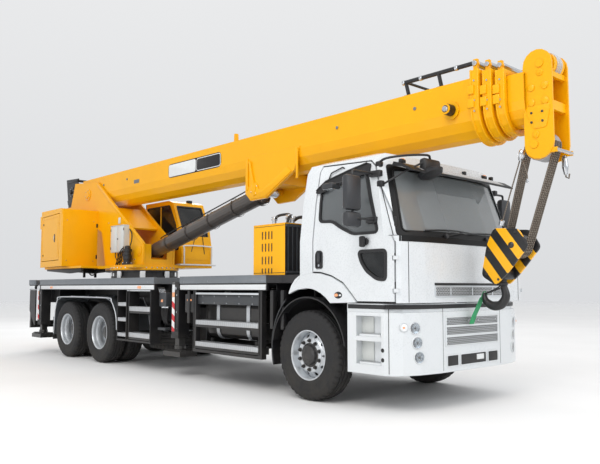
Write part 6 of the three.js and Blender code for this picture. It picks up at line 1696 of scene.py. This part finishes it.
def tankPieces():
    tank, battery = Shape(), Shape()
    outline = [(-1.05, 0.60), (-0.475, 0.60), (-0.475, 1.18), (-1.05, 1.18)]
    inner, outer = [roundedOutline(growOutline(outline, g), 0.148 + g, 6) for g in (0.002, 0.010)]
    band = ((-0.035, inner), (-0.035, outer), (0.035, outer), (0.035, inner))
    for x in (-2.0, -1.32):
        tank.skin([[(x + dx, a, b) for a, b in ring] for dx, ring in band], closed=True)
        tank.bolts([(x, -1.058, 0.80)], (0, -1, 0), 0.014, 0.02)
    tank.lathe([(0.056, 0), (0.058, 0.03), (0.05, 0.045), (0.02, 0.05)], (-2.015, -0.89, 1.205), (0, 0, 1), 24, 1)
    wide, narrow = [roundedOutline(growOutline(outline, g), 0.15, 6) for g in (0.006, -0.03)]
    rim = ((-0.02, wide), (0.004, wide), (0.004, narrow), (-0.02, narrow))
    for x, sign in ((-2.296, -1), (-0.964, 1)):
        tank.skin([[(x + sign * dx, a, b) for a, b in ring] for dx, ring in rim], 2, closed=True)
    piece("fuelTankStraps", tank, "carrier", "galvanised", "rimSilver", "stripeWhite", "darkSteel")
    for x in (-2.15, -1.6):
        battery.box(x - 0.02, x + 0.02, 1.046, 1.06, 0.95, 1.06)
    piece("batteryClips", battery, "carrier", "galvanised", "brightSteel")


def oilTankPieces():
    oil, pipes = Shape(), Shape()
    for x in (-0.975, -0.91, -0.845, -0.785):
        for z0, z1 in ((1.933, 2.037), (1.775, 1.882), (1.612, 1.713), (1.49, 1.56)):
            louvre = plateOutline(x - 0.011, x + 0.011, z0, z1, 0.01, 2)
            for s, y in ((-1, -1.1), (1, -0.45)):
                # Each louvre's slot is a thin black plate inside a yellow rim: painted shade in the slot.
                oil.prism(louvre, y - s * 0.004, y + s * 0.0015, soft=0, slot=1)
                ringSheet(oil, louvre, growOutline(louvre, 0.006), lambda a, b, h: Vector((a, y + s * h, b)), 0.003, 0.004)
    for z in (1.50, 2.10):
        oil.tube([(-1.15, -1.101, z), (-0.54, -1.101, z)], 0.003, 6, 1)
    oil.box(-1.163, -0.527, -1.103, -0.447, 2.118, 2.128)
    for y in [-1.05 + 0.075 * k for k in range(9)]:
        oil.box(-0.531, -0.522, y - 0.008, y + 0.008, 1.52, 2.08, soft=0.003, slot=2)
    for z in (2.08, 1.49):
        oil.box(-0.532, -0.516, -1.09, -0.46, z, z + 0.03, slot=2)
    piece("oilTankLouvres", oil, "carrier", "crane_yellow", "craneYellow", "trimBlack", "panelDark")
    for x, y in ((-1.03, -0.85), (-0.83, -0.70), (-0.68, -0.90)):
        pipes.lathe([(0.033, 0), (0.042, 0.002), (0.042, 0.014), (0.033, 0.016)], (x, y, 2.13), (0, 0, 1), 24, closed=True)
        pipes.lathe([(0.042, 0), (0.042, 0.018), (0.02, 0.03), (0.012, 0.05)], (x, y, 2.205), (0, 0, 1), 20)
        pipes.tube([(x - 0.06, y, 2.25), (x + 0.06, y, 2.25)], 0.008, 8)
    pipes.hose([(-1.03, -0.85, 2.18), (-0.98, -0.84, 2.26), (-0.85, -0.80, 2.28), (-0.70, -0.86, 2.25),
                (-0.60, -0.98, 2.2), (-0.58, -1.02, 2.13)], 6, 0.018, 12, 1)
    pipes.hose([(-0.83, -0.70, 2.19), (-0.75, -0.66, 2.24), (-0.62, -0.62, 2.22), (-0.50, -0.60, 2.1),
                (-0.49, -0.60, 1.9), (-0.5, -0.6, 1.5)], 6, 0.022, 12, 1)
    pipes.tube([(-1.10, -0.55, 2.12), (-1.10, -0.55, 2.26)], 0.016, 12, 1)
    pipes.lathe([(0.03, 0), (0.03, 0.03), (0.01, 0.04)], (-1.10, -0.55, 2.25), (0, 0, 1), 16, 1)
    piece("oilTankPipes", pipes, "carrier", "galvanised", "brightSteel", "hoseBlack")


def rearPieces():
    lamps, flaps, shafts = Shape(), Shape(), Shape()
    for s in (1, -1):
        lamps.box(-8.588, -8.555, s * 0.72, s * 1.12, 0.50, 0.605, soft=0.01)
        for y0, y1, slot in ((0.74, 0.86, 1), (0.87, 0.98, 2), (0.99, 1.10, 3)):
            lamps.box(-8.594, -8.575, s * y0, s * y1, 0.515, 0.59, soft=0.008, slot=slot)
        lamps.box(-8.576, -8.565, s * 1.13, s * 1.19, 0.56, 0.84, slot=4)
        lamps.lathe([(0.03, 0), (0.025, 0.02), (0, 0.022)], (-8.575, s * 1.16, 0.95), (-1, 0, 0), 20, 1)
    lamps.box(-8.582, -8.565, -0.26, 0.26, 0.50, 0.60, slot=5)
    for y in (-0.45, 0.45):
        lamps.hose([(-8.56, y, 0.62), (-8.60, y, 0.66), (-8.60, y, 0.72), (-8.555, y, 0.76)], 4, 0.012)
    piece("rearLamps", lamps, "carrier", "trim_grey", "trimBlack", "redLens", "amberLens", "clearLens", "roadTape",
          "labelPale")
    for s in (1, -1):
        flaps.box(-7.437, -7.422, s * 0.58, s * 1.18, 0.30, 0.72)
        flaps.box(-7.442, -7.417, s * 0.58, s * 1.18, 0.70, 0.74, slot=1)
        flaps.bolts([(-7.442, s * (0.65 + 0.15 * k), 0.72) for k in range(4)], (-1, 0, 0), 0.010, 0.008, 2)
    piece("mudFlaps", flaps, "carrier", "rubber", "rubberBlack", "galvanised", "brightSteel")
    shafts.tube([(-0.9, 0, 0.78), (-2.6, 0, 0.66), (-5.1, 0, 0.56)], 0.05, 16)
    for x, z in ((-0.95, 0.776), (-2.6, 0.66), (-5.05, 0.562)):
        shafts.lathe([(0.085, -0.04), (0.085, 0.04)], (x, 0, z), (1, 0, -0.07), 20)
    for s in (1, -1):
        for x in (-1.7, -1.15):
            vessel = [(0, 0), (0.09, 0.01), (0.125, 0.05), (0.13, 0.1), (0.13, 0.42), (0.125, 0.47), (0.09, 0.51), (0, 0.52)]
            shafts.lathe(vessel, (x - 0.1, s * 0.27, 0.70), (1, 0, 0), 28, 1)
    for s in (1, -1):
        for k in range(10):
            shafts.bolts([(-7.9 + k * 0.8, s * 0.432, z) for z in (0.95, 1.12)], (0, s, 0), 0.014, 0.012, 2)
    piece("driveLine", shafts, "carrier", "dark_steel", "darkSteel", "frameBlack", "brightSteel")


spareValues = {"x": -3.95, "y": -0.45, "scale": 0.96}


def sparePieces():
    v = spareValues
    spare, rim = Shape(), Shape()
    tyre(spare, (0, 0, 0), 1)
    frontRim(rim, (0, 0, 0), 1)
    low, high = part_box("spare_wheel")
    place = Matrix.Translation((v["x"], v["y"], (low.z + high.z) / 2))
    turn = place @ Matrix.Rotation(math.radians(-90), 4, "X") @ Matrix.Scale(v["scale"], 4)
    for shape in (spare, rim):
        bmesh.ops.transform(shape.mesh, matrix=turn, verts=shape.mesh.verts)
    piece("spareTyre", spare, "carrier", "rubber", "rubberBlack", angle=40, replaces=("spare_wheel",))
    rim.lathe([(0.02, -0.15), (0.02, 0.15)], (v["x"], v["y"], 0.52), (0, 0, 1), 10)
    piece("spareRim", rim, "carrier", "wheel", "rimSilver", "darkSteel", angle=30)


def shadePlatePieces():
    # Black plates set in the hollows under the deck, from behind the cab to the rear overhang: painted shade where one
    # would otherwise see through the chassis.
    plates = Shape()
    for s in (1, -1):
        plates.box(-0.672, -0.664, s * 0.46, s * 1.12, 0.78, 1.365, soft=0.002)
        plates.box(-2.30, -0.90, s * 0.47, s * 1.055, 0.53, 0.545)
        plates.box(-2.30, -2.285, s * 0.47, s * 1.055, 0.53, 1.30)
        plates.box(-3.42, -2.36, s * 0.46, s * 0.47, 0.45, 1.30, soft=0.003)
        plates.box(-8.56, -7.45, s * 0.45, s * 0.46, 0.55, 1.30, soft=0.003)
    plates.box(-0.672, -0.664, -0.42, 0.42, 1.14, 1.36, soft=0.002)
    piece("chassisShadePlates", plates, "carrier", "frame_black", "frameBlack")


def guardPieces(sideName, s):
    edge, front = Shape(), Shape()
    line = [(-7.37, 0.405), (-7.335, 0.82), (-7.235, 1.06), (-7.035, 1.125), (-5.175, 1.125), (-4.965, 1.07),
            (-4.795, 0.85), (-4.75, 0.59)]
    for y in (1.19, 0.56):
        edge.hose([(a, s * y, b + 0.012) for a, b in line], 3, 0.0105)
    for x in (-6.6, -5.55):
        edge.box(x - 0.02, x + 0.02, s * 0.56, s * 1.19, 1.145, 1.16)
    piece("rearGuardEdge_" + sideName, edge, "carrier", "galvanised", "rimSilver", angle=60)
    points = [(a, s * 1.236, b) for a, b in arcPoints(0.02, 0.585, 0.632, 128, 196, 10, 1.14)]
    front.tube(points, 0.010)
    piece("frontGuardEdge_" + sideName, front, "carrier", "trim_grey", "mirrorGrey", angle=60)


for sideName, s in sides.items():
    deckPieces(sideName, s)
    stepPieces(sideName, s)
    outriggerPieces(sideName, s)
    guardPieces(sideName, s)
valvePieces()
tankPieces()
oilTankPieces()
rearPieces()
sparePieces()
shadePlatePieces()
print("decks and chassis made")
